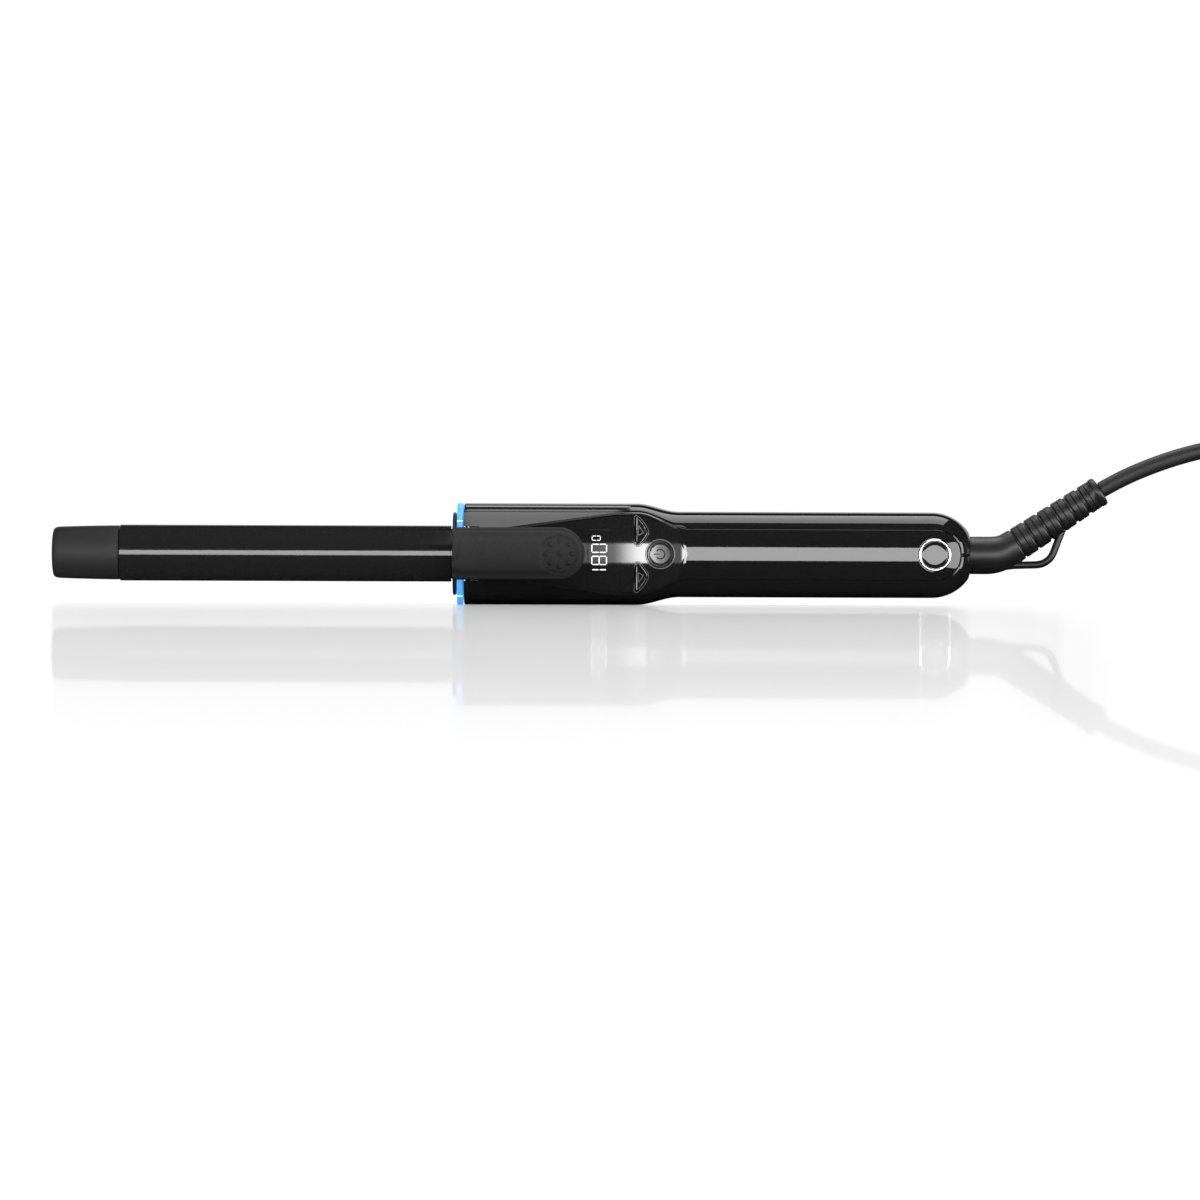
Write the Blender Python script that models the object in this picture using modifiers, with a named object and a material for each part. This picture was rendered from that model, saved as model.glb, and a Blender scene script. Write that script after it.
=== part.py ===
"""A curling iron lying on its side, as the separate pieces that it comes apart into.

The frame: metres, X along the barrel with the cool tip at -X and the cord at +X, Z up.
The controls and the thumb lever look towards -Y. The origin lies on the surface that
the iron rests on, straight below the middle of the light ring. Shapes are drawn about
the barrel's own axis, and the empty "iron_axis" lifts them to their height.
"""

import math

import bmesh
import bpy
from mathutils import Matrix, Vector

# ---- driving sizes, in metres ---------------------------------------------------------

GAP = 0.0003  # clearance between neighbouring pieces
SLICES = 28  # points round the handle's section
ROUND = 28  # sides of a large turned piece
SMALL = 14  # sides of a small round piece

# the handle's outer form
FRONT_HALF_Y = 0.0165
FRONT_HALF_Z = 0.0193
FRONT_SQUARENESS = 2.6
REAR_HALF_Y = 0.0150
REAR_HALF_Z = 0.0163
REAR_SQUARENESS = 2.15
HANDLE_START = 0.0015
SHOULDER_START = 0.0670
SHOULDER_END = 0.0830
HANDLE_END_CENTRE = 0.1788
HANDLE_END_REACH = 0.0169  # how far past that centre the end's oval would run
WALL = 0.0020

# the barrel and what it holds
BARREL_RADIUS = 0.0095
BARREL_WALL = 0.0008
BARREL_START = -0.1292
BARREL_END = 0.0140
TIP_END = -0.1550
TIP_START = -0.1295
TIP_RADIUS = 0.01026
TIP_END_RADIUS = 0.0097
TIP_SPIGOT_RADIUS = 0.0050
TIP_SPIGOT_LENGTH = 0.0085
HEATER_START = -0.1120
HEATER_END = -0.0150
HEATER_THICKNESS = 0.0026
HEATER_WIDTH = 0.0110

# the clamp
CLIP_WALL = 0.0009
CLIP_START = -0.1291
CLIP_END = -0.0034
CLIP_CORNER = 0.0012
DIMPLE_X = 0.0371
DIMPLE_RADIUS = 0.0078
DIMPLE_DEPTH = 0.0005
NECK_HALF_WIDTH = 0.0055
PIN_X = 0.0030
PIN_Y = -0.0164
PIN_RADIUS = 0.0010
LEVER_START = -0.0028
LEVER_END = 0.0473
LEVER_HALF_WIDTH = 0.0099
LEVER_THICKNESS = 0.0024
LEVER_ROOT_UNDER = -0.0200
LEVER_TAIL_UNDER = -0.0266
LEVER_BEND = 0.0055
LEVER_SKIRT = 0.0010
EAR_INNER = 0.0066
EAR_OUTER = 0.0084
LEVER_SCREWS = (("front", 0.0090), ("rear", 0.0140))
LEVER_SCREW_RADIUS = 0.0010
LEVER_SCREW_HEAD = 0.0005
SPRING_WIRE = 0.00035
SPRING_TURNS = 6
SPRING_HALF_WIDTH = 0.0048

# the front of the handle
RING_HALF_LENGTH = 0.0012
RING_DEPTH = 0.0030
BOARD_RING_DEPTH = 0.0022
COLLAR_START = -0.0028
COLLAR_HALF_Y = 0.0135
COLLAR_HALF_Z = 0.0157
HINGE_NOTCH_HALF_WIDTH = LEVER_HALF_WIDTH + 0.0004
HINGE_NOTCH_END = 0.0075
HINGE_NOTCH_FLOOR = -0.0101
BUSH_CLEARANCE = 0.0003
BUSH_LENGTH = 0.0067
BUSH_START = HANDLE_START + WALL + BUSH_CLEARANCE
BUSH_END = BUSH_START + BUSH_LENGTH

# the inlaid front panel and the raised control fascia
SEAM_HALF_FRONT = 0.01585
SEAM_HALF_REAR = 0.0095
SEAM_NARROW_START = 0.0670
SEAM_NARROW_END = 0.0870
SEAM_END_CENTRE = HANDLE_END_CENTRE + 0.0012
SEAM_DEPTH = -0.0060
FASCIA_START = 0.0180
FASCIA_START_HALF = 0.0100
FASCIA_SPREAD = 0.1405
FASCIA_END_CENTRE = 0.0679
FASCIA_END_RADIUS = 0.0160
FASCIA_RAISE = 0.0006
FASCIA_SINK = 0.0009

# display and buttons
DISPLAY_START = 0.0482
DISPLAY_END = 0.0570
DISPLAY_LOW = -0.0066
DISPLAY_HIGH = 0.0092
POWER_X = 0.0757
POWER_RADIUS = 0.0049
BUTTON_RAISE = 0.0006
KEY_FACE_DEPTH = 0.0140  # from the axis out to the panel over the keys, less its curve
BUTTON_FLANGE_REST = WALL - KEY_FACE_DEPTH
BUTTON_FLANGE = 0.0006
WING_X = 0.0664
WING_CENTRE_Z = 0.0080
SWITCH_ROOM = 0.0034
BOARD_FRONT = BUTTON_FLANGE_REST + SWITCH_ROOM
BOARD_THICKNESS = 0.0016
BOARD_START = 0.0360
BOARD_END = 0.0800
BOARD_HALF_WIDTH = 0.0112
SWITCH_SIZE = 0.0060
SWITCH_HEIGHT = 0.0022

# electronics in the rear of the handle
POWER_BOARD_START = 0.0980
POWER_BOARD_END = 0.1450
POWER_BOARD_BACK = 0.0056
FRONT_SCREW_X = 0.0900
REAR_SCREW_X = HANDLE_END_CENTRE - 0.0263
SCREW_RADIUS = 0.00125
SCREW_HEAD_RADIUS = 0.0026
SCREW_HEAD_Y = 0.0082
BOSS_RADIUS = 0.0042
POST_RADIUS = 0.0030
POST_END = 0.0025
BADGE_X = HANDLE_END_CENTRE + 0.0007
BADGE_RADIUS = 0.0062
BADGE_RING_WIDTH = 0.0010
BADGE_SINK = 0.0007
LEAD_RADIUS = 0.0009

# the swivelling cord entry
GLAND_RADIUS = 0.00715
SOCKET_START = HANDLE_END_CENTRE - 0.0078
SOCKET_END = HANDLE_END_CENTRE + 0.0052
SOCKET_RADIUS = 0.0116
SPOOL_FLANGE_RADIUS = 0.0090
SPOOL_FLANGE_START = SOCKET_START + 0.0060
SPOOL_STUB_START = SOCKET_START - 0.0110
SPOOL_STUB_RADIUS = 0.0035
SLIP_RING_RADIUS = 0.0050
SLIP_RING_LENGTH = 0.0030
LIVE_RING_X = SPOOL_STUB_START + 0.0010
NEUTRAL_RING_X = SPOOL_STUB_START + 0.0065
GLAND_CORNER_X = SOCKET_END + 0.0209
BOOT_ANGLE = math.radians(33.1)
BOOT_BEND_TANGENT = 0.0050
BOOT_START_RADIUS = 0.0063
BOOT_END_RADIUS = 0.00555
BOOT_SEAM_DISTANCE = 0.0079  # from the gland's corner to the first groove
BOOT_LENGTH = 0.0376
BOOT_RIBS = 6
BOOT_GROOVE = 0.0006
LOOP_RADIUS = 0.0014

# the cord: 1.8 m, of which most is folded into a tied hank
CORD_RADIUS = 0.0031
HANK_CENTRE = (0.4743, -0.0059)
HANK_HALF_RUN = 0.0645
HANK_FOLD_RADIUS = 0.01865
HANK_WAIST = 0.00315
HANK_LAYERS = 4
HANK_PITCH = 0.0063
TIE_THICKNESS = 0.0006
TIE_HALF_LENGTH = 0.0040
PLUG_START = 0.0200  # from the hank's centre
PLUG_LENGTH = 0.0370
PLUG_HALF_WIDTH = 0.01765
PLUG_HEIGHT = 0.0137
PLUG_PIN_RADIUS = 0.0020
PLUG_PIN_LENGTH = 0.0190
PLUG_PIN_SPACING = 0.0186
PLUG_BOOT_LENGTH = 0.0160

# ---- sizes that follow from them ------------------------------------------------------

AXIS_HEIGHT = FRONT_HALF_Z
CLIP_INNER = BARREL_RADIUS + GAP
CLIP_OUTER = CLIP_INNER + CLIP_WALL
HANDLE_END_HALF = GLAND_RADIUS + GAP + 0.0008
HANDLE_END = HANDLE_END_CENTRE + HANDLE_END_REACH * math.sqrt(1 - (HANDLE_END_HALF / REAR_HALF_Z) ** 2)
SEAM_END_RADIUS = SEAM_HALF_REAR
HANK_BASE = TIE_THICKNESS + GAP
HANK_HEIGHT = HANK_LAYERS * HANK_PITCH
HANK_TOP = HANK_BASE + HANK_HEIGHT

# colours (linear), roughness and metallic value
GLOSS_BLACK = (0.012, 0.012, 0.013, 0.16, 0.0)
SATIN_BLACK = (0.020, 0.020, 0.021, 0.42, 0.0)
MATT_BLACK = (0.030, 0.030, 0.031, 0.62, 0.0)
COATED_BARREL = (0.022, 0.022, 0.024, 0.30, 0.6)
LIGHT_BLUE = (0.075, 0.386, 0.831, 0.30, 0.0)
SMOKED = (0.008, 0.008, 0.010, 0.08, 0.0)
STEEL = (0.56, 0.57, 0.58, 0.30, 1.0)
CHROME = (0.80, 0.80, 0.82, 0.10, 1.0)
ALUMINIUM = (0.70, 0.70, 0.71, 0.38, 1.0)
BRASS = (0.72, 0.50, 0.20, 0.32, 1.0)
COPPER = (0.75, 0.36, 0.20, 0.35, 1.0)
CERAMIC = (0.78, 0.76, 0.72, 0.55, 0.0)
CIRCUIT_GREEN = (0.02, 0.16, 0.07, 0.50, 0.0)
COMPONENT_BLUE = (0.05, 0.14, 0.40, 0.45, 0.0)
RUBBER = (0.018, 0.018, 0.018, 0.70, 0.0)


# ---- building helpers -----------------------------------------------------------------


def clear_scene():
    for thing in list(bpy.data.objects):
        bpy.data.objects.remove(thing, do_unlink=True)


def new_collection(name, hidden=False):
    made = bpy.data.collections.new(name)
    bpy.context.scene.collection.children.link(made)
    made.hide_render = hidden
    return made


def new_pivot(name, place, parent=None):
    """An empty on a joint's axis. Its place is given about the barrel's axis."""
    pivot = bpy.data.objects.new(name, None)
    pivot.empty_display_size = 0.01
    parts.objects.link(pivot)
    pivot.location = place
    if parent:
        pivot.parent = parent
    return pivot


def finish_of(name, finish):
    red, green, blue, roughness, metallic = finish
    made = bpy.data.materials.new(name + "_finish")
    made.use_nodes = True
    shader = made.node_tree.nodes["Principled BSDF"]
    shader.inputs["Base Color"].default_value = (red, green, blue, 1.0)
    shader.inputs["Roughness"].default_value = roughness
    shader.inputs["Metallic"].default_value = metallic
    made.diffuse_color = (red, green, blue, 1.0)
    return made


def place(thing, pivot):
    """Hangs a piece on its pivot, without moving it."""
    if pivot:
        thing.parent = pivot
        offset = Vector(thing.location)
        if pivot is not iron_axis:
            offset -= Vector(pivot.location)
        thing.location = offset
    return thing


def smooth(mesh, angle=32.0):
    mesh.shade_smooth()
    mesh.set_sharp_from_angle(angle=math.radians(angle))


def node(name, mesh, finish, pivot, location=(0.0, 0.0, 0.0)):
    thing = bpy.data.objects.new(name, mesh)
    parts.objects.link(thing)
    mesh.materials.append(finish_of(name, finish))
    thing.location = location
    return place(thing, pivot)


def helper(name, mesh, pivot, location=(0.0, 0.0, 0.0)):
    """A cutter or a shape to be joined: it isn't a piece."""
    thing = bpy.data.objects.new(name, mesh)
    cutters.objects.link(thing)
    thing.location = location
    thing.hide_render = True
    thing.display_type = "WIRE"
    return place(thing, pivot)


def combine(thing, tool, operation):
    change = thing.modifiers.new(f"{operation.lower()}_{tool.name}", "BOOLEAN")
    change.object = tool
    change.operation = operation
    change.solver = "EXACT"
    return thing


def cut(thing, *tools):
    for tool in tools:
        combine(thing, tool, "DIFFERENCE")
    return thing


def join(thing, *tools):
    for tool in tools:
        combine(thing, tool, "UNION")
    return thing


def keep(thing, *tools):
    for tool in tools:
        combine(thing, tool, "INTERSECT")
    return thing


def from_bmesh(name, shape, angle=32.0):
    mesh = bpy.data.meshes.new(name)
    bmesh.ops.recalc_face_normals(shape, faces=shape.faces)
    shape.to_mesh(mesh)
    shape.free()
    smooth(mesh, angle)
    return mesh


def box_mesh(name, low, high, edge=0.0):
    low, high = Vector(low), Vector(high)
    shape = bmesh.new()
    bmesh.ops.create_cube(shape, size=1.0)
    bmesh.ops.scale(shape, vec=high - low, verts=shape.verts)
    bmesh.ops.translate(shape, vec=(low + high) / 2, verts=shape.verts)
    if edge:
        bmesh.ops.bevel(shape, geom=shape.edges[:], offset=edge, segments=1, affect="EDGES")
    return from_bmesh(name, shape)


def rod_mesh(name, start, end, radius, sides=SMALL, end_radius=None):
    """A cylinder, or a cone with end_radius, between two points."""
    start, end = Vector(start), Vector(end)
    shape = bmesh.new()
    bmesh.ops.create_cone(
        shape,
        cap_ends=True,
        segments=sides,
        radius1=radius,
        radius2=radius if end_radius is None else end_radius,
        depth=(end - start).length,
    )
    turn = Vector((0, 0, 1)).rotation_difference(end - start).to_matrix().to_4x4()
    bmesh.ops.transform(shape, matrix=Matrix.Translation((start + end) / 2) @ turn, verts=shape.verts)
    return from_bmesh(name, shape)


def turned_mesh(name, profile, sides=ROUND):
    """Turns a profile of (x, radius) about the barrel's axis. On the outer side x falls."""
    shape = bpy.data.meshes.new(name)
    closed = profile[0][1] > 0 and profile[-1][1] > 0
    count = len(profile)
    edges = [(k, (k + 1) % count) for k in range(count if closed else count - 1)]
    shape.from_pydata([(radius, 0.0, x) for x, radius in profile], edges, [])
    thing = bpy.data.objects.new(name + "_profile", shape)
    cutters.objects.link(thing)
    screw = thing.modifiers.new("turn", "SCREW")
    screw.steps = sides
    screw.render_steps = sides
    screw.use_merge_vertices = True
    screw.merge_threshold = 0.00001
    screw.use_smooth_shade = True
    mesh = applied(thing, name)
    # the turning axis becomes X
    mesh.transform(Matrix(((0, 0, 1, 0), (0, 1, 0, 0), (-1, 0, 0, 0), (0, 0, 0, 1))))
    smooth(mesh)
    return mesh


def applied(thing, name):
    """The thing's shape with its modifiers, as a mesh. The thing itself is removed."""
    bpy.context.view_layer.update()
    graph = bpy.context.evaluated_depsgraph_get()
    mesh = bpy.data.meshes.new_from_object(thing.evaluated_get(graph))
    mesh.name = name
    mesh.transform(thing.matrix_world)
    bpy.data.objects.remove(thing, do_unlink=True)
    shape = bmesh.new()
    shape.from_mesh(mesh)
    bmesh.ops.remove_doubles(shape, verts=shape.verts, dist=0.000002)
    shape.to_mesh(mesh)
    shape.free()
    return mesh


PLANES = {
    "XY": Matrix.Identity(3),
    "XZ": Matrix(((1, 0, 0), (0, 0, -1), (0, 1, 0))),
    "YZ": Matrix(((0, 0, 1), (1, 0, 0), (0, 1, 0))),
}


def prism_mesh(name, outline, plane, low, high):
    """A flat outline in a plane, extruded from low to high along the third axis."""
    curve = bpy.data.curves.new(name, "CURVE")
    curve.dimensions = "2D"
    curve.fill_mode = "BOTH"
    curve.extrude = (high - low) / 2
    line = curve.splines.new("POLY")
    line.points.add(len(outline) - 1)
    for point, (u, v) in zip(line.points, outline):
        point.co = (u, v, 0.0, 1.0)
    line.use_cyclic_u = True
    thing = bpy.data.objects.new(name + "_outline", curve)
    cutters.objects.link(thing)
    turn = PLANES[plane]
    middle = (low + high) / 2 * (-1 if plane == "XZ" else 1)
    thing.matrix_world = Matrix.Translation(turn @ Vector((0, 0, middle))) @ turn.to_4x4()
    mesh = applied(thing, name)
    shape = bmesh.new()
    shape.from_mesh(mesh)
    return from_bmesh(name, shape)


def tube_mesh(name, points, radii, sides_level=2):
    """A round tube along points, with one radius or one for each point."""
    curve = bpy.data.curves.new(name, "CURVE")
    curve.dimensions = "3D"
    curve.bevel_resolution = sides_level
    curve.use_fill_caps = True
    each = radii if isinstance(radii, list) else [radii] * len(points)
    curve.bevel_depth = max(each)
    line = curve.splines.new("POLY")
    line.points.add(len(points) - 1)
    for point, place_at, radius in zip(line.points, points, each):
        point.co = (*place_at, 1.0)
        point.radius = radius / curve.bevel_depth
    thing = bpy.data.objects.new(name + "_line", curve)
    cutters.objects.link(thing)
    mesh = applied(thing, name)
    shape = bmesh.new()
    shape.from_mesh(mesh)
    return from_bmesh(name, shape, 50.0)


def loft_mesh(name, stations):
    """Joins sections of equal count, each (x, [(y, z), ...]), and caps both ends."""
    shape = bmesh.new()
    rows = [[shape.verts.new((x, y, z)) for y, z in ring] for x, ring in stations]
    for low, high in zip(rows, rows[1:]):
        count = len(low)
        for k in range(count):
            after = (k + 1) % count
            shape.faces.new((low[k], low[after], high[after], high[k]))
    shape.faces.new(rows[0])
    shape.faces.new(rows[-1])
    return from_bmesh(name, shape)


# ---- formulas of the outer form -------------------------------------------------------


def ease(value):
    value = min(max(value, 0.0), 1.0)
    return value * value * (3 - 2 * value)


def section(half_y, half_z, squareness, count=SLICES):
    """A rounded oval in the YZ plane, with a flat facet at each side, top and bottom."""
    step = 2 * math.pi / count
    power = 2 / squareness
    widest = math.cos(step / 2) ** power
    points = []
    for k in range(count):
        angle = (k + 0.5) * step
        y = math.copysign(abs(math.cos(angle)) ** power, math.cos(angle))
        z = math.copysign(abs(math.sin(angle)) ** power, math.sin(angle))
        points.append((half_y * y / widest, half_z * z / widest))
    return points


def handle_sizes(x):
    """The handle's half depth, half height and squareness at x."""
    share = ease((x - SHOULDER_START) / (SHOULDER_END - SHOULDER_START))
    half_y = FRONT_HALF_Y + (REAR_HALF_Y - FRONT_HALF_Y) * share
    half_z = FRONT_HALF_Z + (REAR_HALF_Z - FRONT_HALF_Z) * share
    squareness = FRONT_SQUARENESS + (REAR_SQUARENESS - FRONT_SQUARENESS) * share
    if x > HANDLE_END_CENTRE:
        shrink = math.sqrt(max(0.0, 1 - ((x - HANDLE_END_CENTRE) / HANDLE_END_REACH) ** 2))
        half_y, half_z = half_y * shrink, half_z * shrink
    return half_y, half_z, squareness


def handle_form(name, offset, start, end):
    """The handle's outer form moved in or out by offset, between two places along X."""
    shoulder = [
        SHOULDER_START + (SHOULDER_END - SHOULDER_START) * k / 8 for k in range(9)
    ]
    rounding = [
        HANDLE_END_CENTRE + (HANDLE_END - HANDLE_END_CENTRE) * math.sin(math.pi / 2 * k / 6)
        for k in range(7)
    ]
    inner = [x for x in shoulder + rounding if start + 0.0002 < x < end - 0.0002]
    stations = []
    for x in [start, *inner, end]:
        half_y, half_z, squareness = handle_sizes(x)
        stations.append((x, section(half_y + offset, half_z + offset, squareness)))
    return loft_mesh(name, stations)


def arc(centre, radius, start, end, steps):
    """Points on an arc, with angles in degrees."""
    for k in range(steps + 1):
        angle = math.radians(start + (end - start) * k / steps)
        yield centre[0] + radius * math.cos(angle), centre[1] + radius * math.sin(angle)


def seam_half(x):
    """Half the width of the inlaid panel at x."""
    share = ease((x - SEAM_NARROW_START) / (SEAM_NARROW_END - SEAM_NARROW_START))
    return SEAM_HALF_FRONT + (SEAM_HALF_REAR - SEAM_HALF_FRONT) * share


def seam_outline(grow, start):
    """The panel's spoon-shaped outline in XZ, grown all round."""
    steps = 10
    span = SEAM_NARROW_END - SEAM_NARROW_START
    side = [(start, SEAM_HALF_FRONT + grow)]
    side += [
        (x, seam_half(x) + grow)
        for x in (SEAM_NARROW_START + span * k / steps for k in range(steps + 1))
    ]
    end = list(arc((SEAM_END_CENTRE, 0.0), SEAM_END_RADIUS + grow, 90, -90, 14))
    return side + end + [(x, -z) for x, z in reversed(side)]


def fascia_outline(grow):
    """The control fascia's outline in XZ: lever-wide at its start, round at its end."""
    stops = [FASCIA_START, 0.0300, 0.0420, 0.0520, 0.0570, 0.0620, 0.0650]
    side = []
    for x in stops:
        spread = FASCIA_START_HALF + (x - FASCIA_START) * FASCIA_SPREAD
        side.append((x, min(spread, seam_half(x)) + grow))
    side[0] = (FASCIA_START - grow, side[0][1])
    for x, z in arc((FASCIA_END_CENTRE, 0.0), FASCIA_END_RADIUS, 84, 12, 9):
        side.append((x + grow, min(z, seam_half(x)) + grow))
    end = (FASCIA_END_CENTRE + FASCIA_END_RADIUS + grow, 0.0)
    return side + [end] + [(x, -z) for x, z in reversed(side)]


# ---- the handle -----------------------------------------------------------------------


def barrel_bore(name, radius=BARREL_RADIUS + GAP):
    return helper(name, rod_mesh(name, (-0.02, 0, 0), (0.03, 0, 0), radius, ROUND), iron_axis)


def hinge_notch(name):
    """The open space that the lever's hinge turns in, at the front of the handle."""
    low = (RING_HALF_LENGTH * -2, -0.04, -HINGE_NOTCH_HALF_WIDTH)
    high = (HINGE_NOTCH_END, HINGE_NOTCH_FLOOR, HINGE_NOTCH_HALF_WIDTH)
    return helper(name, box_mesh(name, low, high), iron_axis)


def make_handle_shells():
    cavity_start = HANDLE_START + WALL
    cavity_end = HANDLE_END - WALL

    def cavity(name):
        return helper(name, handle_form(name, -WALL, cavity_start, cavity_end), iron_axis)

    rear = node(
        "rear_housing", handle_form("rear_housing", 0.0, HANDLE_START, HANDLE_END), GLOSS_BLACK, iron_axis
    )
    seam = prism_mesh("cut_seam", seam_outline(GAP, -0.01), "XZ", -0.04, SEAM_DEPTH + GAP)
    gland_ends = (SOCKET_END - 0.004, 0, 0), (SOCKET_END + 0.026, 0, 0)
    gland = rod_mesh("cut_gland", *gland_ends, GLAND_RADIUS + GAP, ROUND)
    cut(
        rear,
        cavity("cut_rear_cavity"),
        helper("cut_seam", seam, iron_axis),
        helper("cut_gland", gland, iron_axis),
        barrel_bore("cut_rear_bore"),
    )
    for label, x in (("front", FRONT_SCREW_X), ("rear", REAR_SCREW_X)):
        boss = rod_mesh(f"boss_{label}", (x, POST_END + GAP, 0), (x, 0.0138, 0), BOSS_RADIUS, ROUND // 2)
        bore = rod_mesh(f"cut_boss_{label}", (x, 0, 0), (x, 0.03, 0), SCREW_RADIUS + GAP)
        sink = rod_mesh(
            f"cut_sink_{label}", (x, SCREW_HEAD_Y - GAP, 0), (x, 0.03, 0), SCREW_HEAD_RADIUS + GAP
        )
        join(rear, helper(f"boss_{label}", boss, iron_axis))
        cut(
            rear,
            helper(f"cut_boss_{label}", bore, iron_axis),
            helper(f"cut_sink_{label}", sink, iron_axis),
        )

    panel = node(
        "front_panel", handle_form("front_panel", 0.0, HANDLE_START, HANDLE_END), GLOSS_BLACK, iron_axis
    )
    inlay = prism_mesh("keep_inlay", seam_outline(0.0, -0.01), "XZ", -0.04, SEAM_DEPTH)
    keep(panel, helper("keep_inlay", inlay, iron_axis))
    cut(
        panel,
        cavity("cut_panel_cavity"),
        helper("cut_panel_gland", gland.copy(), iron_axis),
        barrel_bore("cut_panel_bore"),
        hinge_notch("cut_panel_notch"),
        fascia_recess(),
        badge_recess(),
        *control_openings("panel"),
    )
    for label, x in (("front", FRONT_SCREW_X), ("rear", REAR_SCREW_X)):
        half_y = handle_sizes(x)[0]
        post = rod_mesh(f"post_{label}", (x, -half_y + WALL * 0.6, 0), (x, POST_END, 0), POST_RADIUS)
        bore = rod_mesh(
            f"cut_post_{label}", (x, -half_y + WALL * 2.5, 0), (x, POST_END + 0.01, 0), SCREW_RADIUS + GAP
        )
        join(panel, helper(f"post_{label}", post, iron_axis))
        cut(panel, helper(f"cut_post_{label}", bore, iron_axis))
        make_screw(f"housing_screw_{label}", x)


def make_screw(name, x):
    half_y = handle_sizes(x)[0]
    shaft = rod_mesh(name, (x, -half_y + WALL * 4, 0), (x, SCREW_HEAD_Y + 0.0004, 0), SCREW_RADIUS)
    head = rod_mesh(name + "_head", (x, SCREW_HEAD_Y, 0), (x, SCREW_HEAD_Y + 0.0018, 0), SCREW_HEAD_RADIUS)
    slot = box_mesh(
        name + "_slot",
        (x - 0.0015, SCREW_HEAD_Y + 0.0011, -0.0003),
        (x + 0.0015, SCREW_HEAD_Y + 0.0030, 0.0003),
    )
    screw = node(name, shaft, STEEL, iron_axis)
    join(screw, helper(name + "_head", head, iron_axis))
    cut(screw, helper(name + "_slot", slot, iron_axis))


def fascia_recess():
    """The panel is sunk under the fascia."""
    name = "cut_fascia_recess"
    layer = handle_form(name, 0.004, FASCIA_START - 0.01, 0.095)
    recess = helper(name, layer, iron_axis)
    floor = handle_form(
        "cut_recess_floor", -(FASCIA_SINK + GAP), FASCIA_START - 0.02, 0.105
    )
    outline = prism_mesh("keep_recess", fascia_outline(GAP), "XZ", -0.04, -0.002)
    keep(recess, helper("keep_recess", outline, iron_axis))
    cut(recess, helper("cut_recess_floor", floor, iron_axis))
    return recess


def grown(outline, distance):
    """A convex outline, listed anticlockwise, moved outwards on every side."""
    moved = []
    for before, here, after in zip(outline[-1:] + outline[:-1], outline, outline[1:] + outline[:1]):
        normals = []
        for (u0, v0), (u1, v1) in ((before, here), (here, after)):
            length = math.hypot(u1 - u0, v1 - v0)
            normals.append(((v1 - v0) / length, (u0 - u1) / length))
        (au, av), (bu, bv) = normals
        reach = distance / (1 + au * bu + av * bv)
        moved.append((here[0] + (au + bu) * reach, here[1] + (av + bv) * reach))
    return moved


def wing_outline(grow):
    """The up button: straight towards the lever, pointed outwards, round at its foot."""
    corners = [
        (WING_X, 0.0040),
        (WING_X + 0.0012, 0.0034),
        (WING_X + 0.0045, WING_CENTRE_Z),
        (WING_X + 0.0030, 0.0114),
        (WING_X + 0.0003, 0.0142),
        (WING_X, 0.0137),
    ]
    return grown(corners, grow) if grow else corners


def control_openings(owner):
    """The openings for the display and the three buttons, through fascia and panel."""
    made = []
    low = (DISPLAY_START, -0.03, DISPLAY_LOW)
    high = (DISPLAY_END, -0.010, DISPLAY_HIGH)
    name = f"cut_{owner}_display"
    made.append(helper(name, box_mesh(name, low, high), iron_axis))
    name = f"cut_{owner}_power"
    hole = rod_mesh(name, (POWER_X, -0.03, 0), (POWER_X, -0.010, 0), POWER_RADIUS + GAP, ROUND)
    made.append(helper(name, hole, iron_axis))
    for label, side in (("up", 1), ("down", -1)):
        name = f"cut_{owner}_{label}"
        outline = [(x, z * side) for x, z in wing_outline(GAP)]
        made.append(helper(name, prism_mesh(name, outline, "XZ", -0.03, -0.010), iron_axis))
    return made


def make_fascia():
    fascia = node(
        "control_fascia",
        handle_form("control_fascia", FASCIA_RAISE, FASCIA_START - 0.01, 0.095),
        GLOSS_BLACK,
        iron_axis,
    )
    outline = prism_mesh("keep_fascia", fascia_outline(0.0), "XZ", -0.04, -0.003)
    under = handle_form("cut_fascia_under", -FASCIA_SINK, FASCIA_START - 0.02, 0.105)
    keep(fascia, helper("keep_fascia", outline, iron_axis))
    cut(fascia, helper("cut_fascia_under", under, iron_axis), *control_openings("fascia"))


def badge_recess():
    name = "cut_badge"
    face = -handle_sizes(BADGE_X)[0]
    hole = rod_mesh(name, (BADGE_X, -0.03, 0), (BADGE_X, face + BADGE_SINK, 0), BADGE_RADIUS + GAP, ROUND)
    return helper(name, hole, iron_axis)


def make_badge():
    face = -handle_sizes(BADGE_X)[0] + BADGE_SINK - GAP
    front = face - 0.0011
    inner = BADGE_RADIUS - BADGE_RING_WIDTH
    ring = rod_mesh("badge_ring", (BADGE_X, front, 0), (BADGE_X, face, 0), BADGE_RADIUS, ROUND)
    hole = rod_mesh("cut_badge_ring", (BADGE_X, -0.03, 0), (BADGE_X, 0, 0), inner, ROUND)
    cut(node("badge_ring", ring, CHROME, iron_axis), helper("cut_badge_ring", hole, iron_axis))
    disc = rod_mesh("badge_disc", (BADGE_X, front + 0.0002, 0), (BADGE_X, face, 0), inner - GAP, ROUND)
    node("badge_disc", disc, GLOSS_BLACK, iron_axis)


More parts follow.
